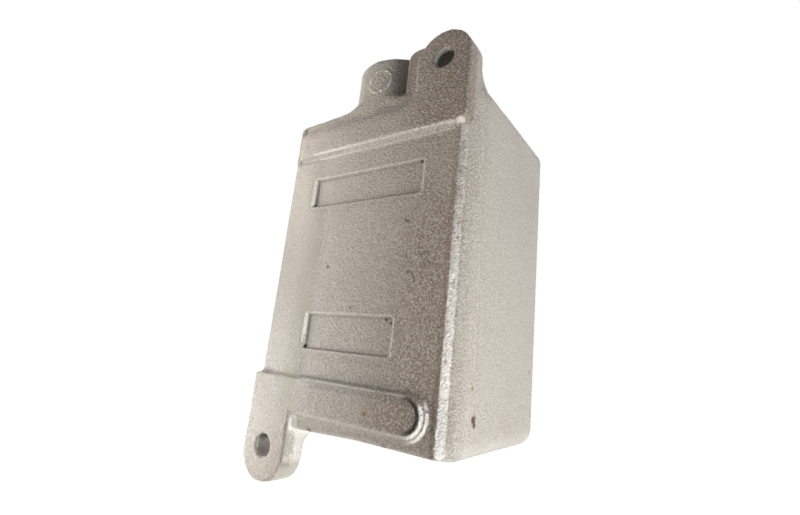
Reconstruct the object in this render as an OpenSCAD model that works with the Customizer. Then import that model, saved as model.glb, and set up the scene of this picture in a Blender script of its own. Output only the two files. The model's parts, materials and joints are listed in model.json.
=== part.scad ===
// Wall-mounted cast pushbutton enclosure with a conduit hub.
// Millimetres. +Z is up, the front faces -Y, and the wall pads lie on Y = 0.
// The origin is midway between the two wall holes, on the plane of the pads.
// Inside upright(), x is across, y is up and z runs from the wall to the front.

/* [Casting] */
// Width of the box
body_w = 88.5; // [84:0.5:110]
// Height of the box, without ears and hub
body_h = 125.5; // [120:0.5:150]
// Depth from the wall to the front rim
body_d = 68.4; // [66:0.1:90]
// Thickness of the four side walls
side_wall = 7; // [6:0.25:8]
// Thickness of the back wall
back_wall = 6; // [5:0.25:8]
// Rounding of the long edges that run from back to front
edge_r = 7; // [4:0.25:8]
// Rounding of the edges around the back
back_r = 3.5; // [2:0.25:4]
// Distance from the wall to the parting line around the sides
part_f = 13; // [8:0.25:20]
// Inward slope of the two sides behind the parting line
side_draft = 3.5; // [0.5:0.25:4]
// Inward slope of the top and bottom behind the parting line
foot_draft = 1.5; // [0.5:0.25:3]
// Chamfer around the front rim
rim_chamfer = 1; // [0.5:0.25:2]
// Rounding of the corners inside
inner_r = 4; // [2:0.25:5]

/* [Wall mounting] */
// Distance across between the two wall holes
hole_dx = 62; // [54:0.5:64]
// Distance up between the two wall holes
hole_dz = 140; // [138:0.5:172]
// Diameter of a wall hole
hole_d = 7.9; // [5:0.1:10]
// Radius of an ear about its hole
ear_r = 10.75; // [9:0.25:12]
// Distance from the lower hole down to the centre of its ear's round end
lower_ear_tip = 1.25; // [0:0.25:2]
// Thickness of an ear
ear_t = 9.75; // [6:0.25:11]
// Blend between the front of an ear and the box
ear_blend_r = 6.5; // [4:0.5:12]
// Height of the pads above the back panel
pad_t = 2; // [1:0.25:3]
// Height of the side rim above the back panel
rim_t = 1.2; // [0.4:0.1:1.5]
// Width of the side rim
rim_w = 3; // [2:0.25:6]
// Width of the slope from the side rim to the back panel
rim_slope = 1.5; // [1:0.25:8]
// Width of the ground edge along the other side of the back panel
ground_w = 1.75; // [1:0.25:4]
// Height of the flat of the upper pad and its rounded top together
upper_pad_h = 18.75; // [14:0.25:22]
// Rounding of the top and the ends of the upper pad
upper_pad_r = 11.25; // [7:0.25:12]
// Length of the sloping step below the upper pad
pad_slope = 2; // [0.5:0.25:3]
// Height of the flat of the lower pad
lower_pad_h = 10.75; // [8:0.25:14]
// Distance from the bottom of the box to the flat of the lower pad
lower_pad_up = 7; // [6:0.25:12]
// Distance from the box side to the free end of the lower pad
lower_pad_in = 10.25; // [5:0.25:15]
// Length of the slope around the lower pad
lower_pad_slope = 2; // [0.5:0.25:3]
// Shift of that slope's foot, outwards and down
lower_pad_lean = 0.75; // [0:0.25:1.5]
// Blend between the upper ear's inner edge and the flat of the upper pad
ear_fillet_r = 9; // [4:0.25:10]
// Distance from the ear to the outside of its shoulder
shoulder_w = 6.5; // [4:0.25:8]
// Height of the shoulder above the box
shoulder_h = 16.5; // [10:0.25:17]
// Rounding of the shoulder's corner
shoulder_r = 3.75; // [2:0.25:4]
// Blend at the foot of the shoulder
shoulder_foot_r = 5; // [2:0.25:6]
// Setback of the shoulder from the wall
shoulder_back = 2.5; // [2:0.25:4]

/* [Marking panels] */
// Width of the upper marking panel
upper_mark_w = 52; // [30:0.5:60]
// Height of the upper marking panel
upper_mark_h = 12; // [8:0.5:14]
// Height of the upper marking panel's centre above the middle of the box
upper_mark_z = 27; // [20:0.5:30]
// Width of the lower marking panel
lower_mark_w = 40; // [30:0.5:60]
// Height of the lower marking panel
lower_mark_h = 13; // [8:0.5:14]
// Depth of the lower marking panel's centre below the middle of the box
lower_mark_z = 27.75; // [20:0.5:30]
// Depth of a marking panel
mark_t = 0.8; // [0.4:0.1:1.5]

/* [Conduit hub] */
// Outside diameter of the hub
hub_d = 35; // [34:0.25:38]
// Height of the hub above the box
hub_h = 17.5; // [15.5:0.25:24]
// Distance of the hub's axis from the wall
hub_off = 18.25; // [18:0.25:22]
// Diameter of the tapped bore
hub_bore_d = 24.6; // [22:0.1:26]
// Depth of the tapped bore
hub_bore_h = 15; // [12:0.25:18]
// Diameter of the throat below the tapped bore
hub_throat_d = 20.4; // [16:0.1:21]
// Blend between the hub and the top of the box
hub_blend_r = 6; // [3:0.5:8]
// Distance of that blend's foot below the top of the box
hub_blend_drop = 2.75; // [1:0.25:4]
// Distance from the wall to the back of that blend
hub_blend_back = 1.25; // [1:0.25:8]
// Chamfer around the hub's rim
hub_chamfer = 2; // [0.5:0.25:2]
// Diameter of the flat round mark behind the hub
witness_d = 9.5; // [6:0.25:10]
// Depth of the flat round mark
witness_t = 0.8; // [0.4:0.1:1.5]
// Height of the flat round mark above the box
witness_up = 7; // [5.5:0.25:9]

/* [Cover] */
// Setback of the cover from the sides of the box
cover_in = 3; // [2.5:0.25:4]
// Thickness of the cover plate
cover_t = 6.5; // [5:0.25:10]
// Rounding of the cover's corners
cover_r = 4.5; // [3.5:0.25:6]
// Chamfer around the cover's front edge
cover_chamfer = 1.5; // [0.5:0.25:2.5]
// Width of the raised seat around the operator
seat_w = 54; // [50:0.5:56]
// Height of the raised seat, up and down
seat_h = 84; // [70:0.5:90]
// Height of the raised seat above the cover plate
seat_t = 1.5; // [0.5:0.25:3]
// Rounding of the corners of the raised seat
seat_r = 6; // [3:0.5:8]
// Thickness of the cover gasket
gasket_t = 1.5; // [1:0.25:3]
// Distance of a cover screw from the inside of the wall
screw_in = 3.25; // [3:0.25:5]
// Radius of a screw boss inside the box
boss_r = 6.5; // [6:0.25:8]
// Diameter of a cover screw
screw_d = 6; // [5:0.25:6.5]
// Depth of a cover screw in its boss
screw_grip = 16; // [10:0.5:24]
// Width across the flats of a cover screw's head
screw_af = 10; // [8:0.25:10.5]
// Height of a cover screw's head
screw_head_h = 4; // [3:0.25:6]
// Outside diameter of a cover screw's washer
washer_d = 11; // [10.5:0.25:12]
// Thickness of a cover screw's washer
washer_t = 1.5; // [0.8:0.1:2]

/* [Operator] */
// Diameter of the operator's barrel
barrel_d = 30; // [28:0.25:31]
// Diameter of the operator's shoulder behind the cover
shoulder_d = 38; // [37:0.25:40]
// Thickness of the operator's shoulder
shoulder_t = 13; // [11:0.25:16]
// Thickness of the operator's gasket
seal_t = 1.5; // [1:0.25:2.5]
// Thickness of the blank legend plate
legend_t = 1; // [0.6:0.1:2]
// Width of the blank legend plate
legend_w = 44; // [42:0.5:50]
// Height of the blank legend plate above the button's axis
legend_up = 31; // [26:0.5:34]
// Diameter across the corners of the mounting ring
ring_d = 38; // [36:0.25:41]
// Height of the mounting ring
ring_h = 7; // [5:0.25:9]
// Narrowing of the mounting ring's corners at the front
ring_taper = 3.5; // [2:0.25:4]
// Setback of the barrel's front from the front of the ring
barrel_in = 0.5; // [0.2:0.1:1.5]
// Diameter of the button
button_d = 22; // [20:0.25:24]
// Height of the button in front of the barrel at rest
button_up = 5.5; // [5.2:0.1:8]
// Length of the button
button_h = 12; // [11.5:0.25:14]
// Travel of the button
travel = 5; // [4:0.1:5]
// Chamfer around the button's front
button_chamfer = 1; // [0.5:0.25:2]
// Thickness of the button over its spring
button_face_t = 4.5; // [4:0.25:6]
// Thickness of the button over its stem
button_skin_t = 3; // [2:0.25:3.5]
// Room behind the button when it is pushed in
button_clear = 1; // [0.5:0.1:2]
// Diameter of the button's stem
stem_d = 9; // [8:0.25:10]
// Thickness of the clip on the stem
clip_t = 1; // [0.8:0.1:1.5]
// Outside diameter of the clip
clip_d = 14; // [13:0.25:16]
// Depth of the clip's groove in the stem
groove_t = 1; // [0.5:0.1:1.5]
// Width of the clip's open side
clip_slot_w = 5.4; // [4:0.1:6]
// Length of the stem behind its clip
stem_tail = 1; // [0.5:0.1:2]
// Wire diameter of the return spring
spring_wire = 1; // [0.8:0.1:1.2]
// Middle diameter of the return spring
spring_d = 13; // [12:0.25:14]
// Number of turns of the return spring
spring_turns = 5; // [4:1:7]

/* [Contact block] */
// Width of the contact housing
block_w = 32; // [30:0.5:36]
// Height of the contact block
block_h = 36; // [34:0.5:42]
// Rounding of the block's upright edges
block_r = 2; // [1:0.25:3]
// Thickness of the contact base
base_t = 5; // [4.5:0.25:7]
// Thickness of the contact base below its spring
base_floor_t = 1.5; // [1:0.25:2]
// Width of the contact base with its terminal shelves
base_w = 54; // [52:0.5:60]
// Width of the contact chamber
chamber_w = 26; // [24:0.5:28]
// Height of the contact chamber
chamber_h = 12; // [11.5:0.25:14]
// Depth of the contact chamber
chamber_d = 12.5; // [12.3:0.1:15]
// Thickness of the wall between the chamber and the clip's pocket
guide_t = 3; // [2:0.25:4]
// Width of the carrier
carrier_w = 8; // [7:0.25:9]
// Thickness of the carrier above and below the bridge
carrier_edge = 2.5; // [2:0.25:3]
// Height of the carrier behind the bridge
carrier_under = 2; // [1.5:0.25:3]
// Diameter of the carrier's pin
pin_d = 6; // [4:0.25:7]
// Thickness of a fixed contact strip
strip_t = 1.2; // [0.8:0.1:1.5]
// Width of a fixed contact strip
strip_w = 7; // [5:0.25:8]
// Edge of a contact strip beyond its tip
strip_edge = 0.5; // [0.25:0.25:1]
// Distance from the end of a contact strip to the end of the base
strip_end_in = 1; // [0.5:0.25:2]
// Diameter of a contact tip
tip_d = 4; // [3:0.25:4.5]
// Thickness of a contact tip
tip_t = 0.8; // [0.5:0.1:1]
// Distance of a contact tip from the middle
tip_x = 9; // [8:0.25:9.5]
// Thickness of the moving bridge
bridge_t = 0.8; // [0.6:0.1:1]
// Width of the moving bridge
bridge_w = 5; // [4.5:0.25:6]
// Wire diameter of the carrier spring
lift_wire = 0.6; // [0.5:0.1:0.8]
// Middle diameter of the carrier spring
lift_d = 5; // [4.5:0.25:6]
// Number of turns of the carrier spring
lift_turns = 5; // [4:1:7]
// Diameter of a terminal screw
term_d = 4; // [3:0.25:4.5]
// Distance of a terminal screw from the middle
term_x = 21.5; // [21.5:0.25:23]
// Thickness of the contact base below a terminal screw's hole
term_floor_t = 1; // [0.5:0.25:2]
// Width of a terminal clamp
clamp_w = 8; // [7:0.25:9]
// Thickness of a terminal clamp
clamp_t = 1.2; // [0.8:0.1:1.5]
// Diameter of a block screw
block_screw_d = 4; // [3:0.25:4.5]
// Distance of a block screw from the middle
block_screw_z = 13.5; // [13:0.25:14.5]
// Depth of a block screw in the operator
block_screw_grip = 8; // [6:0.25:10]

/* [Earth screw] */
// Diameter of the earth screw
earth_d = 5; // [4:0.25:6]
// Diameter of the earth boss
earth_boss_d = 13; // [11.5:0.25:14]
// Outside diameter of the earth washer
earth_washer_d = 11; // [10:0.25:11.5]
// Distance of the earth screw from the middle, across
earth_x = 20; // [14:0.5:22]
// Distance of the earth screw below the middle
earth_z = 43; // [38:0.5:44]
// Height of the earth boss above the back wall
earth_boss_h = 4; // [3:0.25:6]
// Thickness of the earth washer
earth_washer_t = 1.2; // [0.8:0.1:2]

/* [Hidden] */
$fn = 64;
hull_fn = 32;
over = 1;
bore_gap = 0.05;
slide_gap = 0.3;
contact_gap = 0.2;
through_gap = 0.4;
hex_sides = 6;
ring_sides = 8;
head_ratio = 2;
head_rise = 0.6;
slot_ratio = 0.2;
screw_end_gap = 0.5;

panel_f = pad_t;
rim_f = panel_f - rim_t;
inner_f = panel_f + back_wall;
top_z = body_h / 2;
side_x = body_w / 2;
open_w = body_w - 2 * side_wall;
open_h = body_h - 2 * side_wall;
hole_x = hole_dx / 2;
hole_z = hole_dz / 2;
upper_pad_z = top_z - upper_pad_h;
lower_pad_z = lower_pad_up + lower_pad_h / 2 - top_z;
hub_top_z = top_z + hub_h;

cover_w = body_w - 2 * cover_in;
cover_h = body_h - 2 * cover_in;
cover_back_f = body_d + gasket_t;
plate_f = cover_back_f + cover_t;
seat_f = plate_f + seat_t;
screw_x = open_w / 2 - screw_in;
screw_z = open_h / 2 - screw_in;
washer_f = plate_f + washer_t;

legend_f = seat_f + legend_t;
barrel_f = legend_f + ring_h - barrel_in;
shoulder_f = cover_back_f - seal_t;
operator_f = shoulder_f - shoulder_t;
button_f = barrel_f + button_up;
button_back_f = button_f - button_h;
well_f = button_back_f - travel - button_clear;
button_well_d = button_d + 2 * slide_gap;
spring_pocket_h = button_h - button_face_t;
spring_pocket_d = spring_d + spring_wire + 2 * slide_gap;
stem_top_f = button_f - button_skin_t;
clip_f = operator_f - contact_gap;
pocket_d = clip_d + 4 * slide_gap;
stem_end_f = clip_f - clip_t - stem_tail;
pocket_f = stem_end_f - travel - 2 * contact_gap;

chamber_top_f = pocket_f - guide_t;
base_f = chamber_top_f - chamber_d;
base_back_f = base_f - base_t;
strip_f = base_f + strip_t;
fixed_tip_f = strip_f + tip_t;
bridge_tip_f = fixed_tip_f + travel + contact_gap;
bridge_f = bridge_tip_f + tip_t;
carrier_back_f = bridge_f - carrier_under;
carrier_top_f = chamber_top_f - contact_gap;
carrier_h = bridge_w + 2 * carrier_edge;
lift_pocket_d = lift_d + lift_wire + 2 * slide_gap;
lift_pocket_f = base_back_f + base_floor_t;
bridge_len = 2 * tip_x + tip_d + 2 * strip_edge;
clamp_h = strip_w + 2 * strip_edge;

// Turns drawing axes into the part's frame
module upright() rotate([90, 0, 0]) children();

// Puts children at distance f from the wall
module at(f) translate([0, 0, f]) children();

// Four copies about the middle, w and h apart
module corners(w, h)
    for (sx = [-1, 1], sy = [-1, 1]) translate([sx * w / 2, sy * h / 2]) children();

// Two copies, left and right
module left_right(x) for (s = [-1, 1]) translate([s * x, 0]) children();

// Two copies, above and below
module up_down(y) for (s = [-1, 1]) translate([0, s * y]) children();

// Flat rectangle with round corners, about the middle
module round_rect(w, h, r) {
    square([w - 2 * r, h], center = true);
    square([w, h - 2 * r], center = true);
    corners(w - 2 * r, h - 2 * r) circle(r);
}

// Ring between two diameters, h high
module tube(outer, inner, h)
    linear_extrude(h) difference() {
        circle(d = outer);
        circle(d = inner);
    }

// Concave blend of radius r along x, len long, in the corner of the y and z planes
module blend_bar(r, len)
    translate([-len / 2, 0, 0]) difference() {
        cube([len, r, r]);
        translate([-over, r, r]) rotate([0, 90, 0]) cylinder(r = r, h = len + 2 * over);
    }

// Flat concave blend of radius r in the corner of the x and y axes
module corner_blend(r) difference() {
    translate([-over, -over]) square(r + over);
    translate([r, r]) circle(r);
}

// Six-sided screw with its head's seat at 0, its shank running to -grip
module hex_screw(d, grip, af, head_h) {
    at(-grip) cylinder(d = d, h = grip);
    cylinder(d = af / cos(180 / hex_sides), h = head_h, $fn = hex_sides);
}

// Round-headed screw with a slot, its head's seat at 0
module slot_screw(d, grip) {
    head_d = head_ratio * d;
    head_h = head_rise * d;
    slot_w = slot_ratio * d;
    at(-grip) cylinder(d = d, h = grip);
    difference() {
        cylinder(d = head_d, h = head_h);
        translate([-head_d, -slot_w / 2, head_h / 2]) cube([2 * head_d, slot_w, head_h]);
    }
}

// Coil of round wire along z, with its flat length from 0 to len
function coil_point(t, turns, d, wire, len) = [
    d / 2 * cos(360 * turns * t),
    d / 2 * sin(360 * turns * t),
    wire / 2 + (len - wire) * t
];
module coil(turns, d, wire, len) {
    sides = 8;
    per_turn = 16;
    rings = turns * per_turn;
    points = [
        for (i = [0 : rings], k = [0 : sides - 1])
            let (
                c = coil_point(i / rings, turns, d, wire, len),
                a = 360 * turns * i / rings,
                b = 360 * k / sides
            )
            c + wire / 2 * [cos(a) * cos(b), sin(a) * cos(b), sin(b)]
    ];
    walls = [
        for (i = [0 : rings - 1], k = [0 : sides - 1])
            let (n = (k + 1) % sides)
            [i * sides + k, (i + 1) * sides + k, (i + 1) * sides + n, i * sides + n]
    ];
    start = [for (k = [0 : sides - 1]) k];
    end = [for (k = [sides - 1 : -1 : 0]) rings * sides + k];
    polyhedron(points, concat([start, end], walls));
}

// Opening of the box, with the corners left for the screw bosses
module opening() difference() {
    round_rect(open_w, open_h, inner_r);
    for (sx = [-1, 1], sy = [-1, 1]) scale([sx, sy]) {
        translate([screw_x, screw_z]) circle(boss_r);
        translate([screw_x - boss_r, screw_z]) square([boss_r + open_w, open_h]);
        translate([screw_x, screw_z - boss_r]) square([open_w, boss_r + open_h]);
    }
}

// Outer form of the box, tapered towards the back behind the parting line
module box_form() {
    w = body_w - 2 * edge_r;
    h = body_h - 2 * edge_r;
    back_w = body_w - 2 * side_draft - 2 * back_r;
    back_h = body_h - 2 * foot_draft - 2 * back_r;
    straight = body_d - part_f;
    hull() {
        at(rim_f) linear_extrude(back_r) square([back_w, back_h], center = true);
        corners(back_w, back_h) at(rim_f + back_r) sphere(back_r, $fn = hull_fn);
        corners(w, h) at(part_f) {
            cylinder(r = edge_r, h = straight - rim_chamfer, $fn = hull_fn);
            cylinder(r = edge_r - rim_chamfer, h = straight, $fn = hull_fn);
        }
    }
}

// Shallow hollow over the whole height of the back, from the ground edge to the side rim
module panel_hollow() {
    ground_x = side_x - side_draft - ground_w;
    rim_x = side_x - side_draft - rim_w;
    out_x = side_x + over;
    translate([0, top_z, 0]) rotate([90, 0, 0]) linear_extrude(body_h) polygon([
        [-out_x, rim_f - over], [-out_x, panel_f + out_x - ground_x], [-ground_x, panel_f],
        [rim_x - rim_slope, panel_f], [rim_x, rim_f], [rim_x, rim_f - over]
    ]);
}

// Space between the two sloping sides behind the parting line
module between_sides() {
    back_x = side_x - side_draft * part_f / (part_f - rim_f - back_r);
    translate([0, top_z, 0]) rotate([90, 0, 0]) linear_extrude(body_h) polygon([
        [-back_x, 0], [-side_x, part_f], [-side_x, body_d],
        [side_x, body_d], [side_x, part_f], [back_x, 0]
    ]);
}

// Raised pad across the top of the back
module upper_pad() intersection() {
    r = upper_pad_r;
    x = side_x - r;
    len = upper_pad_h - r;
    between_sides();
    hull() {
        translate([-x, upper_pad_z, 0]) cube([2 * x, len, r]);
        left_right(x) translate([0, top_z - r, r]) sphere(r, $fn = hull_fn);
        left_right(x) translate([0, upper_pad_z, r]) rotate([-90, 0, 0])
            cylinder(r = r, h = len, $fn = hull_fn);
        left_right(x) translate([0, upper_pad_z - pad_slope, r + pad_t]) rotate([-90, 0, 0])
            cylinder(r = r, h = len, $fn = hull_fn);
    }
}

// Raised bar along the bottom of the back, with a round free end
module lower_pad() {
    r = lower_pad_h / 2;
    reach = side_x - lower_pad_in - r;
    hull() for (x = [-reach, hole_x]) translate([x, lower_pad_z]) {
        cylinder(r = r, h = pad_t, $fn = hull_fn);
        translate([-lower_pad_lean, -lower_pad_lean, pad_t])
            cylinder(r = r + lower_pad_slope, h = over, $fn = hull_fn);
    }
}

// Ear about the upper hole, down to the middle of the upper pad
module upper_ear() {
    root = hole_z - upper_pad_z - over;
    translate([-hole_x, hole_z]) {
        linear_extrude(ear_t) {
            circle(ear_r);
            translate([-ear_r, -root]) square([2 * ear_r, root]);
        }
        translate([0, top_z - hole_z, ear_t]) blend_bar(ear_blend_r, 2 * ear_r);
    }
    translate([ear_r - hole_x, top_z - upper_pad_r]) linear_extrude(ear_t) corner_blend(ear_fillet_r);
}

// Shoulder that fills the corner between the upper ear and the hub
module ear_shoulder() {
    r = shoulder_r;
    x = -hole_x + ear_r - over;
    w = shoulder_w + over;
    h = shoulder_h + upper_pad_r;
    translate([x, top_z - upper_pad_r, shoulder_back]) linear_extrude(ear_t - shoulder_back) {
        square([w - r, h]);
        square([w, h - r]);
        translate([w - r, h - r]) circle(r);
        translate([w, upper_pad_r - shoulder_foot_r]) corner_blend(shoulder_foot_r);
    }
}

// Ear about the lower hole, up to the top of the lower pad
module lower_ear() {
    root = lower_pad_z + lower_pad_h / 2 + hole_z;
    translate([hole_x, -hole_z]) {
        linear_extrude(ear_t) {
            translate([0, -lower_ear_tip]) circle(ear_r);
            translate([-ear_r, -lower_ear_tip]) square([2 * ear_r, lower_ear_tip + root]);
        }
        translate([0, hole_z - top_z, ear_t]) mirror([0, 1, 0]) blend_bar(ear_blend_r, 2 * ear_r);
    }
}

// Conduit hub on top of the box, with a flat round mark behind it
module hub() {
    r = hub_d / 2;
    foot = top_z - upper_pad_r;
    difference() {
        translate([0, 0, hub_off]) rotate([-90, 0, 0]) {
            at(foot) cylinder(r = r, h = hub_top_z - hub_chamfer - foot);
            at(hub_top_z - hub_chamfer) cylinder(r1 = r, r2 = r - hub_chamfer, h = hub_chamfer);
        }
        translate([0, top_z + witness_up, hub_off - r - over])
            cylinder(d = witness_d, h = witness_t + over);
    }
}

// Concave blend around the foot of the hub, behind which the pad's rounded top takes over
module hub_blend() intersection() {
    translate([0, top_z - hub_blend_drop, hub_off]) rotate([-90, 0, 0]) rotate_extrude()
        translate([hub_d / 2, 0]) corner_blend(hub_blend_r);
    translate([-body_w, 0, hub_blend_back]) cube([2 * body_w, 2 * body_h, body_d]);
}

// Tapped bore of the hub and its throat
module hub_bore() translate([0, 0, hub_off]) rotate([-90, 0, 0]) {
    at(hub_top_z - hub_bore_h) cylinder(d = hub_bore_d, h = hub_bore_h + over);
    at(top_z - side_wall - over) cylinder(d = hub_throat_d, h = side_wall + hub_h);
}

// Bare recess for markings
module mark(w, h, y)
    translate([0, y, panel_f - over]) linear_extrude(over + mark_t) square([w, h], center = true);

module body_casting() color("silver") upright() difference() {
    union() {
        difference() {
            union() {
                difference() {
                    box_form();
                    panel_hollow();
                }
                upper_pad();
                lower_pad();
                upper_ear();
                ear_shoulder();
                lower_ear();
                hub();
                hub_blend();
            }
            at(inner_f) linear_extrude(body_d) opening();
        }
        translate([-earth_x, -earth_z, inner_f - over])
            cylinder(d = earth_boss_d, h = earth_boss_h + over);
    }
    hub_bore();
    mark(upper_mark_w, upper_mark_h, upper_mark_z);
    mark(lower_mark_w, lower_mark_h, -lower_mark_z);
    for (s = [-1, 1]) translate([s * hole_x, -s * hole_z, -over])
        cylinder(d = hole_d, h = ear_t + ear_blend_r + 2 * over);
    corners(2 * screw_x, 2 * screw_z) at(body_d - screw_grip - over)
        cylinder(d = screw_d + 2 * bore_gap, h = screw_grip + 2 * over);
    translate([-earth_x, -earth_z, inner_f - over])
        cylinder(d = earth_d + 2 * bore_gap, h = earth_boss_h + 2 * over);
}

module cover() color("silver") upright() difference() {
    union() {
        hull() corners(cover_w - 2 * cover_r, cover_h - 2 * cover_r) at(cover_back_f) {
            cylinder(r = cover_r, h = cover_t - cover_chamfer, $fn = hull_fn);
            cylinder(r = cover_r - cover_chamfer, h = cover_t, $fn = hull_fn);
        }
        at(plate_f) linear_extrude(seat_t) round_rect(seat_w, seat_h, seat_r);
    }
    at(cover_back_f - over) cylinder(d = barrel_d + 2 * through_gap, h = cover_t + seat_t + 2 * over);
    corners(2 * screw_x, 2 * screw_z) at(cover_back_f - over)
        cylinder(d = screw_d + 2 * through_gap, h = cover_t + 2 * over);
}

module cover_gasket() color("dimgray") upright() at(body_d) linear_extrude(gasket_t) difference() {
    round_rect(cover_w, cover_h, cover_r);
    opening();
    corners(2 * screw_x, 2 * screw_z) circle(d = screw_d + 2 * through_gap);
}

module cover_screws() color("gainsboro") upright()
    corners(2 * screw_x, 2 * screw_z) at(washer_f)
        hex_screw(screw_d, screw_grip + washer_f - body_d, screw_af, screw_head_h);

module cover_washers() color("gainsboro") upright()
    corners(2 * screw_x, 2 * screw_z) at(plate_f) tube(washer_d, screw_d + 2 * bore_gap, washer_t);

module operator_body() color("darkgray") upright() difference() {
    union() {
        at(operator_f) cylinder(d = shoulder_d, h = shoulder_t);
        at(operator_f) cylinder(d = barrel_d, h = barrel_f - operator_f);
    }
    at(operator_f - over) cylinder(d = stem_d + 2 * bore_gap, h = barrel_f - operator_f);
    at(well_f) cylinder(d = button_well_d, h = barrel_f - well_f + over);
    up_down(block_screw_z) at(operator_f - over)
        cylinder(d = block_screw_d + 2 * bore_gap, h = block_screw_grip + 2 * over);
}

module operator_gasket() color("dimgray") upright()
    at(shoulder_f) tube(shoulder_d, barrel_d + 2 * bore_gap, seal_t);

module legend_plate() color("lightgray") upright() at(seat_f) linear_extrude(legend_t) difference() {
    union() {
        circle(d = legend_w);
        translate([-legend_w / 2, 0]) square([legend_w, legend_up]);
    }
    circle(d = barrel_d + 2 * through_gap);
}

module mounting_ring() color("whitesmoke") upright() at(legend_f) difference() {
    intersection() {
        cylinder(d = ring_d, h = ring_h, $fn = ring_sides);
        cylinder(d1 = ring_d + ring_taper, d2 = ring_d - ring_taper, h = ring_h);
    }
    at(-over) cylinder(d = barrel_d + 2 * bore_gap, h = ring_h + 2 * over);
}

module button_cap() color("black") upright() at(button_back_f) difference() {
    union() {
        cylinder(d = button_d, h = button_h - button_chamfer);
        at(button_h - button_chamfer)
            cylinder(d1 = button_d, d2 = button_d - 2 * button_chamfer, h = button_chamfer);
    }
    at(-over) cylinder(d = spring_pocket_d, h = spring_pocket_h + over);
    at(-over) cylinder(d = stem_d + 2 * bore_gap, h = stem_top_f - button_back_f + over);
}

module button_stem() color("lightsteelblue") upright() difference() {
    at(stem_end_f) cylinder(d = stem_d, h = stem_top_f - stem_end_f);
    at(clip_f - clip_t) tube(stem_d + over, stem_d - 2 * groove_t, clip_t);
}

module stem_clip() color("gray") upright() at(clip_f - clip_t) difference() {
    cylinder(d = clip_d, h = clip_t);
    at(-over) cylinder(d = stem_d - 2 * groove_t + 2 * bore_gap, h = clip_t + 2 * over);
    translate([-clip_slot_w / 2, 0, -over]) cube([clip_slot_w, clip_d, clip_t + 2 * over]);
}

module return_spring() color("lightgray") upright() at(well_f)
    coil(spring_turns, spring_d, spring_wire, button_back_f + spring_pocket_h - well_f);

module contact_housing() color("saddlebrown") upright() difference() {
    at(base_f) linear_extrude(operator_f - base_f) round_rect(block_w, block_h, block_r);
    at(pocket_f) cylinder(d = pocket_d, h = operator_f - pocket_f + over);
    at(chamber_top_f - over) cylinder(d = pin_d + 2 * bore_gap, h = guide_t + 2 * over);
    at(base_f - over) linear_extrude(chamber_d + over) square([chamber_w, chamber_h], center = true);
    at(base_f - over) linear_extrude(over + strip_t + bore_gap)
        square([block_w + 2 * over, strip_w + 2 * bore_gap], center = true);
    up_down(block_screw_z) at(base_f - over)
        cylinder(d = block_screw_d + 2 * bore_gap, h = operator_f - base_f + 2 * over);
}

module contact_base() color("saddlebrown") upright() difference() {
    at(base_back_f) linear_extrude(base_t) round_rect(base_w, block_h, block_r);
    at(lift_pocket_f) cylinder(d = lift_pocket_d, h = base_f - lift_pocket_f + over);
    up_down(block_screw_z) at(base_back_f - over)
        cylinder(d = block_screw_d + 2 * bore_gap, h = base_t + 2 * over);
    left_right(term_x) at(base_back_f + term_floor_t)
        cylinder(d = term_d + 2 * bore_gap, h = base_t);
}

module block_screws() color("gainsboro") upright() up_down(block_screw_z) at(base_back_f)
    mirror([0, 0, 1]) slot_screw(block_screw_d, operator_f - base_back_f + block_screw_grip);

module contact_carrier() color("black") upright() difference() {
    union() {
        at(carrier_back_f) linear_extrude(carrier_top_f - carrier_back_f)
            square([carrier_w, carrier_h], center = true);
        at(carrier_back_f) cylinder(d = pin_d, h = stem_end_f - carrier_back_f);
    }
    at(bridge_f) linear_extrude(bridge_t + bore_gap)
        square([carrier_w + over, bridge_w + 2 * bore_gap], center = true);
}

module bridge_contact() color("goldenrod") upright() {
    at(bridge_f) linear_extrude(bridge_t) round_rect(bridge_len, bridge_w, strip_edge);
    left_right(tip_x) at(bridge_tip_f) cylinder(d = tip_d, h = tip_t);
}

module carrier_spring() color("lightgray") upright() at(lift_pocket_f)
    coil(lift_turns, lift_d, lift_wire, carrier_back_f - lift_pocket_f);

module fixed_contacts() color("goldenrod") upright() for (s = [0, 1]) mirror([s, 0, 0]) {
    start = tip_x - tip_d / 2 - strip_edge;
    end = base_w / 2 - strip_end_in;
    at(base_f) linear_extrude(strip_t) difference() {
        translate([start, -strip_w / 2]) square([end - start, strip_w]);
        translate([term_x, 0]) circle(d = term_d + 2 * bore_gap);
    }
    translate([tip_x, 0, strip_f]) cylinder(d = tip_d, h = tip_t);
}

module terminal_clamps() color("gainsboro") upright() left_right(term_x) at(strip_f)
    linear_extrude(clamp_t) difference() {
        square([clamp_w, clamp_h], center = true);
        circle(d = term_d + 2 * bore_gap);
    }

module terminal_screws() color("gainsboro") upright() left_right(term_x) at(strip_f + clamp_t)
    slot_screw(term_d, strip_t + clamp_t + base_t - term_floor_t - screw_end_gap);

module earth_screw() color("forestgreen") upright()
    translate([-earth_x, -earth_z, inner_f + earth_boss_h + earth_washer_t])
        slot_screw(earth_d, earth_boss_h + earth_washer_t);

module earth_washer() color("gainsboro") upright()
    translate([-earth_x, -earth_z, inner_f + earth_boss_h])
        tube(earth_washer_d, earth_d + 2 * bore_gap, earth_washer_t);

body_casting();
cover();
cover_gasket();
cover_screws();
cover_washers();
operator_body();
operator_gasket();
legend_plate();
mounting_ring();
button_cap();
button_stem();
stem_clip();
return_spring();
contact_housing();
contact_base();
block_screws();
contact_carrier();
bridge_contact();
carrier_spring();
fixed_contacts();
terminal_clamps();
terminal_screws();
earth_screw();
earth_washer();
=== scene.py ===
# Looks of a cast, wall-mounted pushbutton enclosure. Metres, in the frame of the solids.
# The back lies on Y = 0 and faces +Y, the front faces -Y, and +Z is up.
import json
import math

import bpy
import numpy as np
from mathutils import Matrix, Vector

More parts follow.
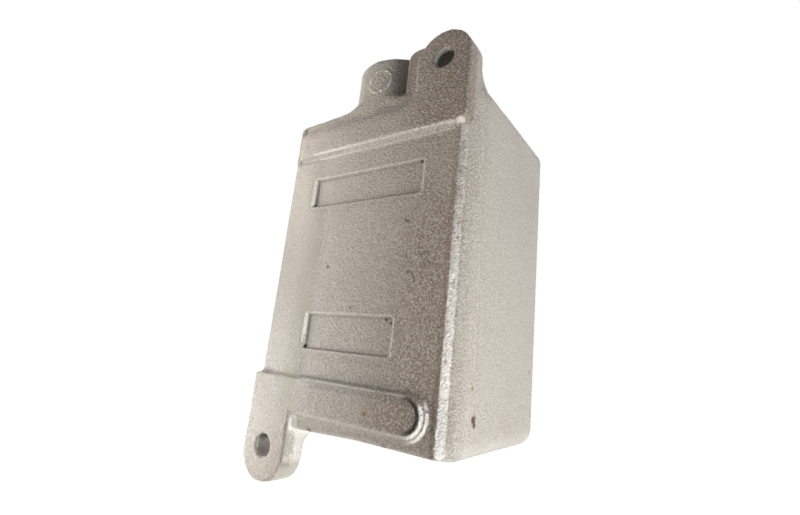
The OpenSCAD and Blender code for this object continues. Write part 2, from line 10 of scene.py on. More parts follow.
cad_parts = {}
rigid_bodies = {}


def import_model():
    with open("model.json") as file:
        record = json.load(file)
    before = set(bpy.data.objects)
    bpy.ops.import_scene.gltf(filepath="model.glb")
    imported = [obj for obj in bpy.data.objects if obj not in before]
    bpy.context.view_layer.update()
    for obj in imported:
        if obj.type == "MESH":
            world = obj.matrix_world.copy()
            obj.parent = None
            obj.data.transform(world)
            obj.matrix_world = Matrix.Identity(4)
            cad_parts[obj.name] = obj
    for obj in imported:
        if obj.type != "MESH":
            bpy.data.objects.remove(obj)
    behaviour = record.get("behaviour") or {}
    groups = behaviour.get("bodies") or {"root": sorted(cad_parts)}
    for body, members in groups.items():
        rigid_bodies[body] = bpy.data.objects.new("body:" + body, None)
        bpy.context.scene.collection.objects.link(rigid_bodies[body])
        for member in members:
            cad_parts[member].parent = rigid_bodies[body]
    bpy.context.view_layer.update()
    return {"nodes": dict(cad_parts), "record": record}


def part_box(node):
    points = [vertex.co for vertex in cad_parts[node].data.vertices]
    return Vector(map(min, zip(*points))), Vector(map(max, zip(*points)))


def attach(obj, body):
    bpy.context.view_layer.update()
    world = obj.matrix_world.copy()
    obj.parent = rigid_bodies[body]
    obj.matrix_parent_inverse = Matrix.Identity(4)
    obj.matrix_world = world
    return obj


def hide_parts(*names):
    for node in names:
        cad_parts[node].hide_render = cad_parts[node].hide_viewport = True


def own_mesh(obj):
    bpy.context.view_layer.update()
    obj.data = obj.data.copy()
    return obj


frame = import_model()
nodes = frame["nodes"]

MM = 0.001

# Sizes taken from the solids
body_low, body_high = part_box("body_casting")
cover_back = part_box("cover")[1].y
screws_low, screws_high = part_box("cover_screws")
washers_low, washers_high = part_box("cover_washers")
legend_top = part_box("legend_plate")[1].z
button_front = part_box("button_cap")[0].y
hub_mount = next(m for m in frame["record"]["mounts"] if m["name"] == "conduit_hub")


# Forms of the back
PAD_HEIGHT = 2 * MM
PANEL_Y = -PAD_HEIGHT
PANEL_LOW, PANEL_HIGH = -43.5 * MM, 41.5 * MM
PANEL_START_X, PANEL_END_X = -38 * MM, 34 * MM
PANEL_DEEPEST = -3.5 * MM
MARGIN_RISE = 0.8 * MM
MARGIN_WIDTH = 11 * MM
MARGIN_END_X = 38.5 * MM
# The margin's foot, which moves over by a shift between two heights
MARGIN_FOOT_X = 16.8 * MM
MARGIN_SHIFT = 6 * MM
MARGIN_SHIFT_Z = (12 * MM, 38 * MM)
RIM_DROP = 0.4 * MM
RIM_FOOT_Y, RIM_TOP_Y = -6 * MM, -1 * MM
# Width, height and middle height of each marking recess
RECESSES = ((52 * MM, 12 * MM, 27 * MM), (40 * MM, 13 * MM, -27.75 * MM))
RECESS_DEPTH = 0.8 * MM
RECESS_Y = PANEL_Y - RECESS_DEPTH
RECESS_SLOPE = 0.7 * MM
LIP_HEIGHT = 0.14 * MM
LIP_WIDTH = 0.5 * MM
BAR_Z = -50.375 * MM
BAR_END_X = -28.625 * MM
BAR_RADIUS = 5.375 * MM
BAR_SLOPE = 2 * MM
BAR_LEAN = 0.75 * MM
BAR_SHAPED_X = -8 * MM
BAR_DEEPEST = -3 * MM
# The ledge in the bar's slope: where it comes in, and the height left at each share of the way out
LEDGE_X = (-26 * MM, -31 * MM)
LEDGE_OUT = (0, 0.5, 0.64, 0.95, 1)
LEDGE_HEIGHT = (1, 0.52, 0.47, 0.03, 0)
HUB_X, HUB_Y = hub_mount["pos_m"][:2]
HUB_RADIUS = 17.5 * MM
HUB_SKIN = 1.2 * MM
RING_X, RING_Z = -2 * MM, 69.5 * MM
RING_RADIUS = 4.7 * MM
RING_HEIGHT = 0.16 * MM
RING_WIDTH = 0.45 * MM
RING_FIELD_LOW, RING_FIELD_HIGH = 63 * MM, 79 * MM
# How far the shoulder and the foot sag, and the stretches over which they do
SHOULDER_SAG = 1.2 * MM
SHOULDER_SAG_X = (17 * MM, 42 * MM)
SHOULDER_SAG_Z = (48 * MM, 60 * MM)
FOOT_SAG = 1.1 * MM
FOOT_SAG_X = (-12 * MM, 16 * MM)
FOOT_LEVEL_X = (30 * MM, 20 * MM)
FOOT_SAG_Y = (-40 * MM, -15 * MM)
FOOT_SAG_Z = (-55 * MM, -62 * MM)
# Place of each wall hole, the way in x and z to the side of its bore that gets a painted highlight, and
# how deep that goes
WALL_HOLES = (
    ((-31 * MM, 70 * MM), (1, 1), 2.4 * MM),
    ((31 * MM, -70 * MM), (1, -1), 12 * MM),
)


# Working with Blender's tools

MERGE_REACH = 0.001 * MM
SHARP_ANGLE = math.radians(35)
SMOOTH_ANGLE = math.radians(32)
FLAT_ANGLE = math.radians(1)


def deselect_all():
    if bpy.context.object and bpy.context.object.mode != "OBJECT":
        bpy.ops.object.mode_set(mode="OBJECT")
    for obj in bpy.context.view_layer.objects:
        obj.select_set(False)


def pick(obj):
    """Makes obj the only selected and active object."""
    deselect_all()
    obj.select_set(True)
    bpy.context.view_layer.objects.active = obj


def edit(obj, mode="VERT"):
    """Opens obj for editing with nothing selected."""
    pick(obj)
    bpy.ops.object.mode_set(mode="EDIT")
    bpy.ops.mesh.select_mode(type=mode)
    bpy.ops.mesh.select_all(action="DESELECT")


def edit_all(obj):
    """Opens obj for editing with everything selected."""
    edit(obj)
    bpy.ops.mesh.select_all(action="SELECT")


def done():
    bpy.ops.object.mode_set(mode="OBJECT")


def select_points(obj, test):
    """Selects the vertices whose place passes the test, and leaves obj in edit mode."""
    edit(obj)
    done()
    for vertex in obj.data.vertices:
        vertex.select = bool(test(vertex.co))
    bpy.ops.object.mode_set(mode="EDIT")


def select_faces(obj, test):
    """Selects the faces that pass the test, and leaves obj in edit mode."""
    edit(obj, "FACE")
    done()
    for face in obj.data.polygons:
        face.select = bool(test(face))
    bpy.ops.object.mode_set(mode="EDIT")


def select_edges(obj, test):
    """Selects the edges whose two ends pass the test, and leaves obj in edit mode."""
    edit(obj, "EDGE")
    done()
    points = obj.data.vertices
    for line in obj.data.edges:
        line.select = bool(test(points[line.vertices[0]].co, points[line.vertices[1]].co))
    bpy.ops.object.mode_set(mode="EDIT")


def use_modifier(obj, kind, **settings):
    """Adds a modifier with these settings and applies it."""
    pick(obj)
    modifier = obj.modifiers.new(kind.lower(), kind)
    for name, value in settings.items():
        setattr(modifier, name, value)
    bpy.ops.object.modifier_apply(modifier=modifier.name)


def merge(obj):
    """Joins the loose points of obj."""
    edit_all(obj)
    bpy.ops.mesh.remove_doubles(threshold=MERGE_REACH)
    done()


def join(first, *others):
    """Makes several objects one object."""
    pick(first)
    for other in others:
        other.select_set(True)
    bpy.ops.object.join()


def copy_of(node, name):
    """A merged copy of a solid as a new piece."""
    piece = bpy.data.objects.new(name, nodes[node].data.copy())
    bpy.context.scene.collection.objects.link(piece)
    piece.data.materials.clear()
    merge(piece)
    return piece


def clean_copy(node, name):
    """A copy of a solid with whole flat faces in place of triangles."""
    piece = copy_of(node, name)
    edit_all(piece)
    bpy.ops.mesh.dissolve_limited(angle_limit=FLAT_ANGLE)
    done()
    return piece


def break_edges(piece, width, segments=3):
    """Rounds the sharp edges of a piece and smooths its shading."""
    use_modifier(
        piece, "BEVEL", width=width, segments=segments, limit_method="ANGLE",
        angle_limit=SHARP_ANGLE, use_clamp_overlap=True)
    pick(piece)
    bpy.ops.object.shade_smooth_by_angle(angle=SMOOTH_ANGLE)


def reshape(piece, rule):
    """Moves all the points of a piece by a rule that works on their coordinates."""
    flat = np.empty(3 * len(piece.data.vertices))
    piece.data.vertices.foreach_get("co", flat)
    points = flat.reshape(-1, 3)
    rule(points)
    piece.data.vertices.foreach_set("co", points.ravel())
    piece.data.update()


def ease(value, start, end):
    """0 at start and 1 at end, with a smooth way between."""
    share = np.clip((value - start) / (end - start), 0, 1)
    return share * share * (3 - 2 * share)


def settle(piece, node, body, material):
    """Gives a piece its finish and the body that it rides on, and hides the solid that it stands for."""
    piece.data.materials.clear()
    piece.data.materials.append(material)
    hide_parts(node)
    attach(piece, body)


# Material building blocks

PATTERN_TURN = (0.5, 0.7, 0.9)
SPOT_SOFT = 0.6


def start_material(name):
    """A new material with its node tree and its main shader."""
    material = bpy.data.materials.new(name)
    material.use_nodes = True
    tree = material.node_tree
    return material, tree, tree.nodes["Principled BSDF"]


def add(tree, kind, **settings):
    node = tree.nodes.new(kind)
    for name, value in settings.items():
        setattr(node, name, value)
    return node


def plug(tree, value, socket):
    """Links a socket to another, or sets it to a value."""
    if isinstance(value, bpy.types.NodeSocket):
        tree.links.new(value, socket)
    else:
        socket.default_value = value


def feed(tree, node, **sockets):
    """Sets or links a node's inputs by name, with underscores for spaces."""
    for name, value in sockets.items():
        plug(tree, value, node.inputs[name.replace("_", " ")])


def place(tree):
    return add(tree, "ShaderNodeTexCoord").outputs["Object"]


def along(tree, where):
    """The three coordinates of a place."""
    node = add(tree, "ShaderNodeSeparateXYZ")
    plug(tree, where, node.inputs[0])
    return node.outputs[:]


def drawn_out(tree, where, stretch):
    """The same place, drawn out so that a pattern gets longer along some axes."""
    node = add(tree, "ShaderNodeMapping")
    feed(tree, node, Vector=where, Scale=[1 / share for share in stretch])
    return node.outputs[0]


def turned(tree, where):
    """The same place, turned so that no face lies along the grid of a pattern."""
    node = add(tree, "ShaderNodeMapping")
    feed(tree, node, Vector=where, Rotation=PATTERN_TURN)
    return node.outputs[0]


def noise(tree, where, size, detail=2.0, roughness=0.5):
    """Noise whose lumps are about size across."""
    node = add(tree, "ShaderNodeTexNoise")
    feed(tree, node, Vector=where, Scale=1 / size, Detail=detail, Roughness=roughness)
    return node.outputs["Fac"]


def streaks(tree, value, size):
    """Noise along one line, for scratches across it."""
    node = add(tree, "ShaderNodeTexNoise", noise_dimensions="1D")
    feed(tree, node, W=value, Scale=1 / size, Detail=1.0)
    return node.outputs["Fac"]


def spread(tree, value, low, high, to_low=0.0, to_high=1.0):
    """Maps a value from one range to another, clamped and smooth."""
    node = add(tree, "ShaderNodeMapRange", interpolation_type="SMOOTHSTEP")
    for index, number in enumerate((low, high, to_low, to_high)):
        node.inputs[index + 1].default_value = number
    plug(tree, value, node.inputs[0])
    return node.outputs[0]


def band(tree, value, low, high, soft):
    """1 between low and high, with soft edges."""
    rise = spread(tree, value, low - soft, low + soft)
    fall = spread(tree, value, high - soft, high + soft, 1.0, 0.0)
    return combine(tree, rise, fall)


def combine(tree, first, second, operation="MULTIPLY"):
    node = add(tree, "ShaderNodeMath", operation=operation)
    plug(tree, first, node.inputs[0])
    plug(tree, second, node.inputs[1])
    return node.outputs[0]


def all_of(tree, first, *others):
    """Where every one of these masks is 1."""
    for other in others:
        first = combine(tree, first, other)
    return first


def tint(tree, share, under, over):
    """Lays one colour over another."""
    node = add(tree, "ShaderNodeMix", data_type="RGBA")
    for index, value in ((0, share), (6, under), (7, over)):
        plug(tree, value, node.inputs[index])
    return node.outputs[2]


def relief(tree, height, depth, under=None):
    """Bump of this depth, on top of another bump if one is given."""
    node = add(tree, "ShaderNodeBump")
    feed(tree, node, Height=height, Distance=depth, Strength=1.0)
    if under is not None:
        feed(tree, node, Normal=under)
    return node.outputs["Normal"]


def spot(tree, where, centre_mm, radius_mm):
    """1 inside a ball about the centre, falling to 0 at its radius."""
    node = add(tree, "ShaderNodeVectorMath", operation="DISTANCE")
    plug(tree, where, node.inputs[0])
    node.inputs[1].default_value = [MM * value for value in centre_mm]
    radius = radius_mm * MM
    return spread(tree, node.outputs["Value"], radius * (1 - SPOT_SOFT), radius, 1.0, 0.0)


def patch(tree, x, z, box_mm, soft_mm=0.3):
    """1 inside a box that is given by its two x and its two z, with soft edges."""
    left, right, low, high = (MM * value for value in box_mm)
    soft = soft_mm * MM
    return combine(tree, band(tree, x, left, right, soft), band(tree, z, low, high, soft))


def away(tree, first, second):
    """Length of the line whose two sides are given."""
    squares = combine(tree, combine(tree, first, first), combine(tree, second, second), "ADD")
    return combine(tree, squares, 0.5, "POWER")


def rgb(red, green, blue):
    return red, green, blue, 1.0


# Finish of the castings

EDGE_LAYER = "edge_sheen_and_hollow_shade"
CAST_LIGHT = rgb(0.70, 0.665, 0.61)
CAST_DARK = rgb(0.46, 0.425, 0.39)
CAST_STAIN = rgb(0.47, 0.42, 0.37)
# Besides real dirt, rust and wear, several colours below also paint shade (the dark ones) and highlights
# (the light ones).
BARE_METAL_AND_SHEEN = rgb(0.74, 0.715, 0.68)
RUST = rgb(0.30, 0.13, 0.05)
DEEP_RUST = rgb(0.07, 0.03, 0.018)
GREY_DIRT_AND_SHADE = rgb(0.14, 0.12, 0.10)
BROWN_DIRT_AND_SHADE = rgb(0.24, 0.185, 0.145)
BLACK_SHADE = rgb(0.014, 0.011, 0.010)
RED_DIRT_AND_SHADE = rgb(0.17, 0.105, 0.08)
PAINTED_HIGHLIGHT = rgb(0.86, 0.84, 0.80)
OLIVE_SHADE = rgb(0.36, 0.34, 0.275)
CAST_METAL = 0.12
HIGHLIGHT_METAL = 0.6
CAST_SPECULAR = 0.35
GRAIN_SIZE, GRAIN_DEPTH = 0.75 * MM, 1.05 * MM
LUMP_SIZE, LUMP_DEPTH = 2.4 * MM, 0.25 * MM
CLOUD_SIZE = 26 * MM
COVER_GRIP = 0.5

# Stretches over which the grain of the body changes, from the first place to the second
LOW_PAD_Z = (-43 * MM, -45 * MM)
HIGH_PAD_Z = (43 * MM, 46 * MM)
PAD_EDGE_X = (-42.5 * MM, -41.5 * MM)
GRAIN_ACROSS_X = (28 * MM, -12 * MM)
GRAIN_SIDE_X = (-42 * MM, -43.5 * MM)


def cast_skin(tree, where, grip):
    """Silver sand-cast skin: grain as strong as grip says, uneven tone, worn edges with a painted
    highlight, painted shade in hollows.
    """
    loose = turned(tree, where)
    grain = noise(tree, loose, GRAIN_SIZE, 3.0, 0.6)
    rise = combine(tree, combine(tree, grain, 0.5, "SUBTRACT"), grip)
    lumps = noise(tree, loose, LUMP_SIZE)
    clouds = noise(tree, where, CLOUD_SIZE, 3.0)
    tone = tint(tree, spread(tree, rise, -0.12, 0.12), CAST_DARK, CAST_LIGHT)
    tone = tint(tree, spread(tree, clouds, 0.4, 0.75, 0.0, 0.3), tone, CAST_STAIN)
    # Outer edges lean to bare metal, which is wear with a painted highlight; hollows darken, which is
    # painted shade.
    edges_and_hollows = add(tree, "ShaderNodeAttribute", attribute_name=EDGE_LAYER).outputs["Fac"]
    tone = tint(tree, spread(tree, edges_and_hollows, 0.54, 0.68, 0.0, 0.5), tone, BARE_METAL_AND_SHEEN)
    tone = tint(tree, spread(tree, edges_and_hollows, 0.30, 0.46, 0.3, 0.0), tone, GREY_DIRT_AND_SHADE)
    rough = spread(tree, lumps, 0.3, 0.7, 0.34, 0.44)
    bump = relief(tree, lumps, LUMP_DEPTH)
    bump = relief(tree, rise, GRAIN_DEPTH, bump)
    return tone, rough, bump


def finish_cover():
    """The plain cast skin."""
    material, tree, shader = start_material("cover_casting")
    tone, rough, bump = cast_skin(tree, place(tree), COVER_GRIP)
    feed(tree, shader, Base_Color=tone, Roughness=rough, Normal=bump)
    feed(tree, shader, Metallic=CAST_METAL, Specular_IOR_Level=CAST_SPECULAR)
    return material


def body_grip(tree, where):
    """Strength of the body's grain: less towards +X and on the -X side, more on the pads."""
    x, _, z = along(tree, where)
    on_pads = combine(tree, spread(tree, z, *LOW_PAD_Z), spread(tree, z, *HIGH_PAD_Z), "MAXIMUM")
    on_pads = combine(tree, on_pads, spread(tree, x, *PAD_EDGE_X))
    across = spread(tree, x, *GRAIN_ACROSS_X, 0.4, 1.0)
    on_side = spread(tree, x, *GRAIN_SIDE_X, 1.0, 0.6)
    return all_of(tree, across, on_side, spread(tree, on_pads, 0.0, 1.0, 1.0, 1.35))


def finish_body():
    """The cast skin with all the marks of the back, painted shade and highlights among them."""
    material, tree, shader = start_material("weathered_casting")
    where = place(tree)
    tone, rough, bump = cast_skin(tree, where, body_grip(tree, where))
    tone, rough, bump, metal = back_marks(tree, where, tone, rough, bump)
    feed(tree, shader, Base_Color=tone, Roughness=rough, Normal=bump)
    feed(tree, shader, Metallic=metal, Specular_IOR_Level=CAST_SPECULAR)
    return material


# Centre and radius of each small mark, in millimetres
RUST_SPOTS = (((-14.2, 0, -52.1), 1.1), ((-44.3, -12.9, -40.7), 0.8))
DEEP_PITS = (((-44.3, -15.2, -49.7), 2.0), ((-44.3, -15.6, -51.4), 1.2))
DARK_SPECKS = (
    ((-21.8, -2, 11.0), 1.0), ((-21.0, -2, 11.4), 1.0),
    ((12.7, -2, -3.8), 0.9), ((-0.9, -2, -18.9), 0.7),
)
# Painted shade in the corners of the two recesses.
CORNER_SHADE_SPOTS = (
    ((24.9, -2.7, 21.5), 1.2), ((-24.9, -2.6, 32.4), 0.9), ((19.1, -2.7, -33.6), 1.2),
    ((-16.6, -2.6, -22.3), 0.8), ((-19.0, -2.6, -23.4), 0.9),
)
EDGE_NICKS = (((11.1, -3, -61.5), 1.8), ((-21.3, -3, -60.6), 1.8))
# Painted highlights at the upper pad's corner and the lower -X corner of the back, and a bright nick in
# the ground strip.
HIGHLIGHT_AND_NICK_SPOTS = (((-38.9, -2.0, 44.6), 1.9), ((-39.9, -3.2, -57.6), 2.2), ((-40.1, -3, -7.9), 1.0))
PITTED_PLACE, PITTED_RADIUS = (-27, -2, -3.3), 9

# Two x and two z of each mark on the back, its soft edge, in millimetres, and its strength. The light
# lines are painted highlights and the dark lines painted shade, along recess walls, steps and edges, with
# faint dark bands below the recesses.
LIGHT_LINES = (
    ((25.5, 26.5, 21.4, 32.8), 0.25, 0.85), ((19.5, 20.5, -33.9, -21.4), 0.25, 0.85),
    ((-37, 28, 43.6, 44.3), 0.4, 0.45), ((-37, 26, 41.6, 42.2), 0.35, 0.3),
    ((-29, 16, -45.1, -44.6), 0.25, 0.6), ((-20.8, -20.2, 60, 75), 0.2, 0.6),
    ((-26, 26, 33.0, 33.5), 0.25, 0.3), ((-26, 26, 20.4, 20.9), 0.25, 0.28),
    ((-20, 20, -21.2, -20.7), 0.25, 0.3), ((-20, 20, -34.9, -34.4), 0.25, 0.28),
    ((-26.6, -26.1, 21, 33), 0.25, 0.4), ((-20.6, -20.1, -34, -21), 0.25, 0.4),
)
DARK_LINES = (
    ((12, 39, 42.4, 43.5), 0.5, 0.3), ((20, 39, 44.0, 44.6), 0.4, 0.25),
    ((-41.1, -40.3, 46, 77), 0.3, 0.45), ((-30, 18, -44.2, -43.6), 0.3, 0.6),
    ((-30, 12, -47.4, -45.5), 0.7, 0.3), ((-25, 25, 31.8, 32.8), 0.4, 0.5),
    ((-25, 25, 20.9, 21.5), 0.25, 0.65), ((-19, 19, -34.3, -33.7), 0.25, 0.7),
    ((-19, 19, -22.4, -21.6), 0.4, 0.4),
    ((24.2, 25.0, 21, 33), 0.3, 0.35), ((18.2, 19.0, -34, -21.5), 0.3, 0.35),
    ((20.1, 20.7, -79, -60), 0.25, 0.5), ((-16, 22, 54.0, 55.0), 0.4, 0.35),
    ((-25, 26, 18.4, 20.2), 0.8, 0.16), ((-20, 20, -37.6, -35.2), 0.9, 0.16),
    ((-23.6, -21, -40, -22), 0.8, 0.14),
    ((27.0, 27.5, 21, 33), 0.2, 0.4), ((21.0, 21.5, -34, -21.5), 0.2, 0.4),
)
# The first patch is a red-brown painted shade on the hub's shaded side by the ear; the second a painted
# highlight on the lower ear's inner face.
BESIDE_EAR, BESIDE_EAR_SOFT = (-17, -8, 60, 80), 2.5
INSIDE_EAR = (17, 20.4, -80, -57)

# Patterns that break up the marks
GRIT_SIZE = 0.7 * MM
WANDER_SIZE = 5 * MM
FLECK_SIZE = 1.3 * MM
FILE_SIZE = 0.5 * MM

# Stretches over which dirt, wear, painted shade and painted highlights of the back come or go, from the
# first place to the second
BACK_Y = (-6 * MM, -4 * MM)
EDGE_DARKENING_X = (-2 * MM, -32 * MM)
EDGE_DARKENING_HIGH_Z = (8 * MM, 36 * MM)
EDGE_DARKENING_LOW_Z = (-44 * MM, -57 * MM)
TOP_DARKENING_X = (-8 * MM, -38 * MM)
OLIVE_START_X = (18.4 * MM, 19.4 * MM)
OLIVE_END_X = (23 * MM, 31 * MM)
OLIVE_TOP_Z = (44 * MM, 41 * MM)
OLIVE_DOWN_Z = (20 * MM, -40 * MM)
EAR_WALL_Y = (-1.2 * MM, -0.6 * MM)

# Soft ends of the panel and of the ground strip, and the ring's painted highlight line: half its width and
# its soft edge
END_SOFT = 1 * MM
RING_LINE, RING_SOFT = 0.3 * MM, 0.2 * MM

# The painted shade line at the +X edge of the back: where it starts, its top on the pads and on the panel,
# and its fade
FAR_EDGE_X = (37.4 * MM, 38.2 * MM)
FAR_EDGE_TOP = (-0.25 * MM, -1.15 * MM)
FAR_EDGE_FADE = (0.0, -0.3 * MM)

# Stretches on the bar for its darkening, painted shade and painted highlight, some of them by the reach
# from its middle line
BAR_FLAT_REACH = (5.2 * MM, 5.8 * MM)
BAR_DULL_X = (-4 * MM, -28 * MM)
BAR_TIP_X = (-25 * MM, -34 * MM)
HOLLOW_REACH, HOLLOW_SOFT = (4.3 * MM, 5.5 * MM), 0.5 * MM
HOLLOW_X = (-26 * MM, -32 * MM)
INNER_RIM_REACH = (5.7 * MM, 6.6 * MM)
OUTER_RIM_REACH = (7.1 * MM, 7.9 * MM)
OUTER_RIM_X = (-26 * MM, -34 * MM)
BAR_RIM_SOFT = 0.25 * MM
BAR_RIM_FACING = (-1 * MM, 4 * MM)
BAR_RIM_BEYOND = (0.0, 4.5 * MM)
BAR_RIM_START_X = (19 * MM, 15 * MM)

# Stretches in a wall hole: out from its middle, in from its mouth, and towards its side with the painted
# highlight
BORE_OUT = (4.1 * MM, 4.4 * MM)
BORE_MOUTH_Y = (-0.9 * MM, -0.4 * MM)
BORE_SHADE = (1.5 * MM, -0.5 * MM)
BORE_LIT = (0.8 * MM, 2.8 * MM)
BORE_FADE_IN, BORE_FADE_OUT = 0.6 * MM, 0.4 * MM


def olive_shade_band(tree, x, z):
    """Painted shade: a dark olive band along the foot of the raised margin, stronger further down."""
    across = combine(tree, spread(tree, x, *OLIVE_START_X), spread(tree, x, *OLIVE_END_X, 1.0, 0.0))
    down = spread(tree, z, *OLIVE_DOWN_Z, 0.3, 0.42)
    return all_of(tree, across, spread(tree, z, *OLIVE_TOP_Z), down)


def edge_dirt_and_shade(tree, x, z):
    """Brown dirt and painted shade towards the -X edge of the panel and of the upper pad."""
    to_edge = spread(tree, x, *EDGE_DARKENING_X, 0.0, 0.52)
    to_edge = combine(tree, to_edge, spread(tree, z, *EDGE_DARKENING_HIGH_Z, 1.0, 0.45))
    to_edge = combine(tree, to_edge, spread(tree, z, *EDGE_DARKENING_LOW_Z, 1.0, 0.55))
    to_top = combine(tree, spread(tree, z, *HIGH_PAD_Z), spread(tree, x, *TOP_DARKENING_X, 0.0, 0.85))
    return combine(tree, to_edge, to_top, "MAXIMUM")


def bar_reach(tree, x, z):
    """How far a place is beyond the start of the bar's round end, above its middle line, and from both."""
    beyond = combine(tree, combine(tree, BAR_END_X, x, "SUBTRACT"), 0.0, "MAXIMUM")
    off = combine(tree, z, BAR_Z, "SUBTRACT")
    return beyond, off, away(tree, beyond, off)


def bar_rim_highlight(tree, x, z, fleck):
    """Painted highlight on the bar's slope, on its lower side and brightest at its round end."""
    beyond, off, reach = bar_reach(tree, x, z)
    inner = band(tree, reach, *INNER_RIM_REACH, BAR_RIM_SOFT)
    outer = band(tree, reach, *OUTER_RIM_REACH, BAR_RIM_SOFT)
    outer = combine(tree, outer, spread(tree, x, *OUTER_RIM_X))
    facing = spread(tree, combine(tree, beyond, off, "SUBTRACT"), *BAR_RIM_FACING)
    fade = combine(
        tree, spread(tree, beyond, *BAR_RIM_BEYOND, 0.22, 1.0), spread(tree, x, *BAR_RIM_START_X))
    broken = spread(tree, fleck, 0.2, 0.45)
    return all_of(tree, combine(tree, inner, outer, "MAXIMUM"), facing, fade, broken)


def hub_ring_highlight(tree, x, z, fleck):
    """Painted highlight: a broken bright line on the thin ring of the hub."""
    out = away(tree, combine(tree, x, RING_X, "SUBTRACT"), combine(tree, z, RING_Z, "SUBTRACT"))
    line = band(tree, out, RING_RADIUS - RING_LINE, RING_RADIUS + RING_LINE, RING_SOFT)
    return all_of(tree, line, spread(tree, fleck, 0.3, 0.6), 0.65)


def wall_hole(tree, x, y, z, hole):
    """The painted shade and the painted highlight in a wall hole's bore."""
    (hole_x, hole_z), (way_x, way_z), depth = hole
    across = combine(tree, x, hole_x, "SUBTRACT")
    up = combine(tree, z, hole_z, "SUBTRACT")
    towards = combine(tree, combine(tree, across, way_x), combine(tree, up, way_z), "ADD")
    bore = spread(tree, away(tree, across, up), *BORE_OUT, 1.0, 0.0)
    bore = combine(tree, bore, spread(tree, y, *BORE_MOUTH_Y, 1.0, 0.0))
    outside = spread(tree, y, -depth - BORE_FADE_IN, -depth + BORE_FADE_OUT)
    inside = combine(tree, 1.0, outside, "SUBTRACT")
    bore_shade = combine(tree, spread(tree, towards, *BORE_SHADE), inside, "MAXIMUM")
    highlight_mask = combine(tree, outside, spread(tree, towards, *BORE_LIT))
    return all_of(tree, bore, bore_shade, 0.8), all_of(tree, bore, highlight_mask, 0.7)


def far_edge(tree, x, y, z):
    """Painted shade: a dark line just below the +X edge of the back."""
    on_panel = band(tree, z, PANEL_LOW, PANEL_HIGH, END_SOFT)
    top = spread(tree, on_panel, 0.0, 1.0, *FAR_EDGE_TOP)
    below_top = spread(tree, combine(tree, y, top, "SUBTRACT"), *FAR_EDGE_FADE)
    return all_of(tree, below_top, spread(tree, x, *FAR_EDGE_X), 0.65)


def back_dirt_and_shade(tree, where, tone, fleck):
    """Dirt and painted shade of the back. Gives its tone and the painted shade in the hollow round the
    bar's end.
    """
    x, y, z = along(tree, where)
    on_back = spread(tree, y, *BACK_Y)
    grit = noise(tree, turned(tree, where), GRIT_SIZE, 2.0, 0.6)
    grit = combine(tree, spread(tree, grit, 0.4, 0.6, 2.0, 0.1), on_back)
    # Painted shade band along the margin's foot.
    tone = tint(tree, combine(tree, olive_shade_band(tree, x, z), on_back), tone, OLIVE_SHADE)
    # Brown dirt and painted shade towards the -X edge and along the bar, darkest at the bar's tip.
    reach = bar_reach(tree, x, z)[2]
    flat = spread(tree, reach, *BAR_FLAT_REACH, 1.0, 0.0)
    dull = combine(tree, flat, spread(tree, x, *BAR_DULL_X, 0.0, 0.72))
    brown = combine(tree, edge_dirt_and_shade(tree, x, z), dull, "MAXIMUM")
    tone = tint(tree, combine(tree, brown, grit), tone, BROWN_DIRT_AND_SHADE)
    at_tip = combine(tree, flat, spread(tree, x, *BAR_TIP_X, 0.0, 0.4))
    tone = tint(tree, combine(tree, at_tip, grit), tone, GREY_DIRT_AND_SHADE)
    # Painted shade: near black in the hollow round the bar's round end.
    bar_end_shade = combine(tree, band(tree, reach, *HOLLOW_REACH, HOLLOW_SOFT), spread(tree, x, *HOLLOW_X))
    bar_end_shade = all_of(tree, bar_end_shade, on_back, spread(tree, fleck, 0.2, 0.5, 0.6, 1.0))
    tone = tint(tree, bar_end_shade, tone, BLACK_SHADE)
    # Red-brown painted shade on the hub's shaded side next to the ear.
    beside_ear = patch(tree, x, z, BESIDE_EAR, BESIDE_EAR_SOFT)
    return tint(tree, combine(tree, beside_ear, 0.45), tone, RED_DIRT_AND_SHADE), bar_end_shade


def back_highlights_and_shade(tree, where, tone, fleck):
    """Painted highlights on edges and walls and painted shade in corners and holes of the back. Gives its
    tone and where the highlights are.
    """
    x, y, z = along(tree, where)
    on_back = spread(tree, y, *BACK_Y)
    # Painted highlights: the bar's slope, the hub's ring, the ear's inner face and the lit side of each
    # bore.
    highlight_mask = combine(tree, bar_rim_highlight(tree, x, z, fleck), hub_ring_highlight(tree, x, z, fleck), "MAXIMUM")
    highlight_mask = combine(tree, highlight_mask, on_back)
    inside_ear = all_of(tree, patch(tree, x, z, INSIDE_EAR), spread(tree, y, *EAR_WALL_Y, 1.0, 0.0), 0.6)
    highlight_mask = combine(tree, highlight_mask, inside_ear, "MAXIMUM")
    # Painted shade deep in each bore and a painted highlight on its lit side.
    for hole in WALL_HOLES:
        bore_shade, side = wall_hole(tree, x, y, z, hole)
        tone = tint(tree, bore_shade, tone, GREY_DIRT_AND_SHADE)
        highlight_mask = combine(tree, highlight_mask, side, "MAXIMUM")
    broken = combine(tree, on_back, spread(tree, fleck, 0.25, 0.5))
    # Painted highlight lines on recess walls, steps and edges.
    for box, soft, share in LIGHT_LINES:
        line = all_of(tree, patch(tree, x, z, box, soft), broken, share)
        highlight_mask = combine(tree, highlight_mask, line, "MAXIMUM")
    tone = tint(tree, highlight_mask, tone, PAINTED_HIGHLIGHT)
    # Painted shade lines along recess walls, steps and edges, and faint dark bands below the recesses.
    for box, soft, share in DARK_LINES:
        line = all_of(tree, patch(tree, x, z, box, soft), broken, share)
        tone = tint(tree, line, tone, GREY_DIRT_AND_SHADE)
    return tint(tree, combine(tree, far_edge(tree, x, y, z), on_back), tone, GREY_DIRT_AND_SHADE), highlight_mask


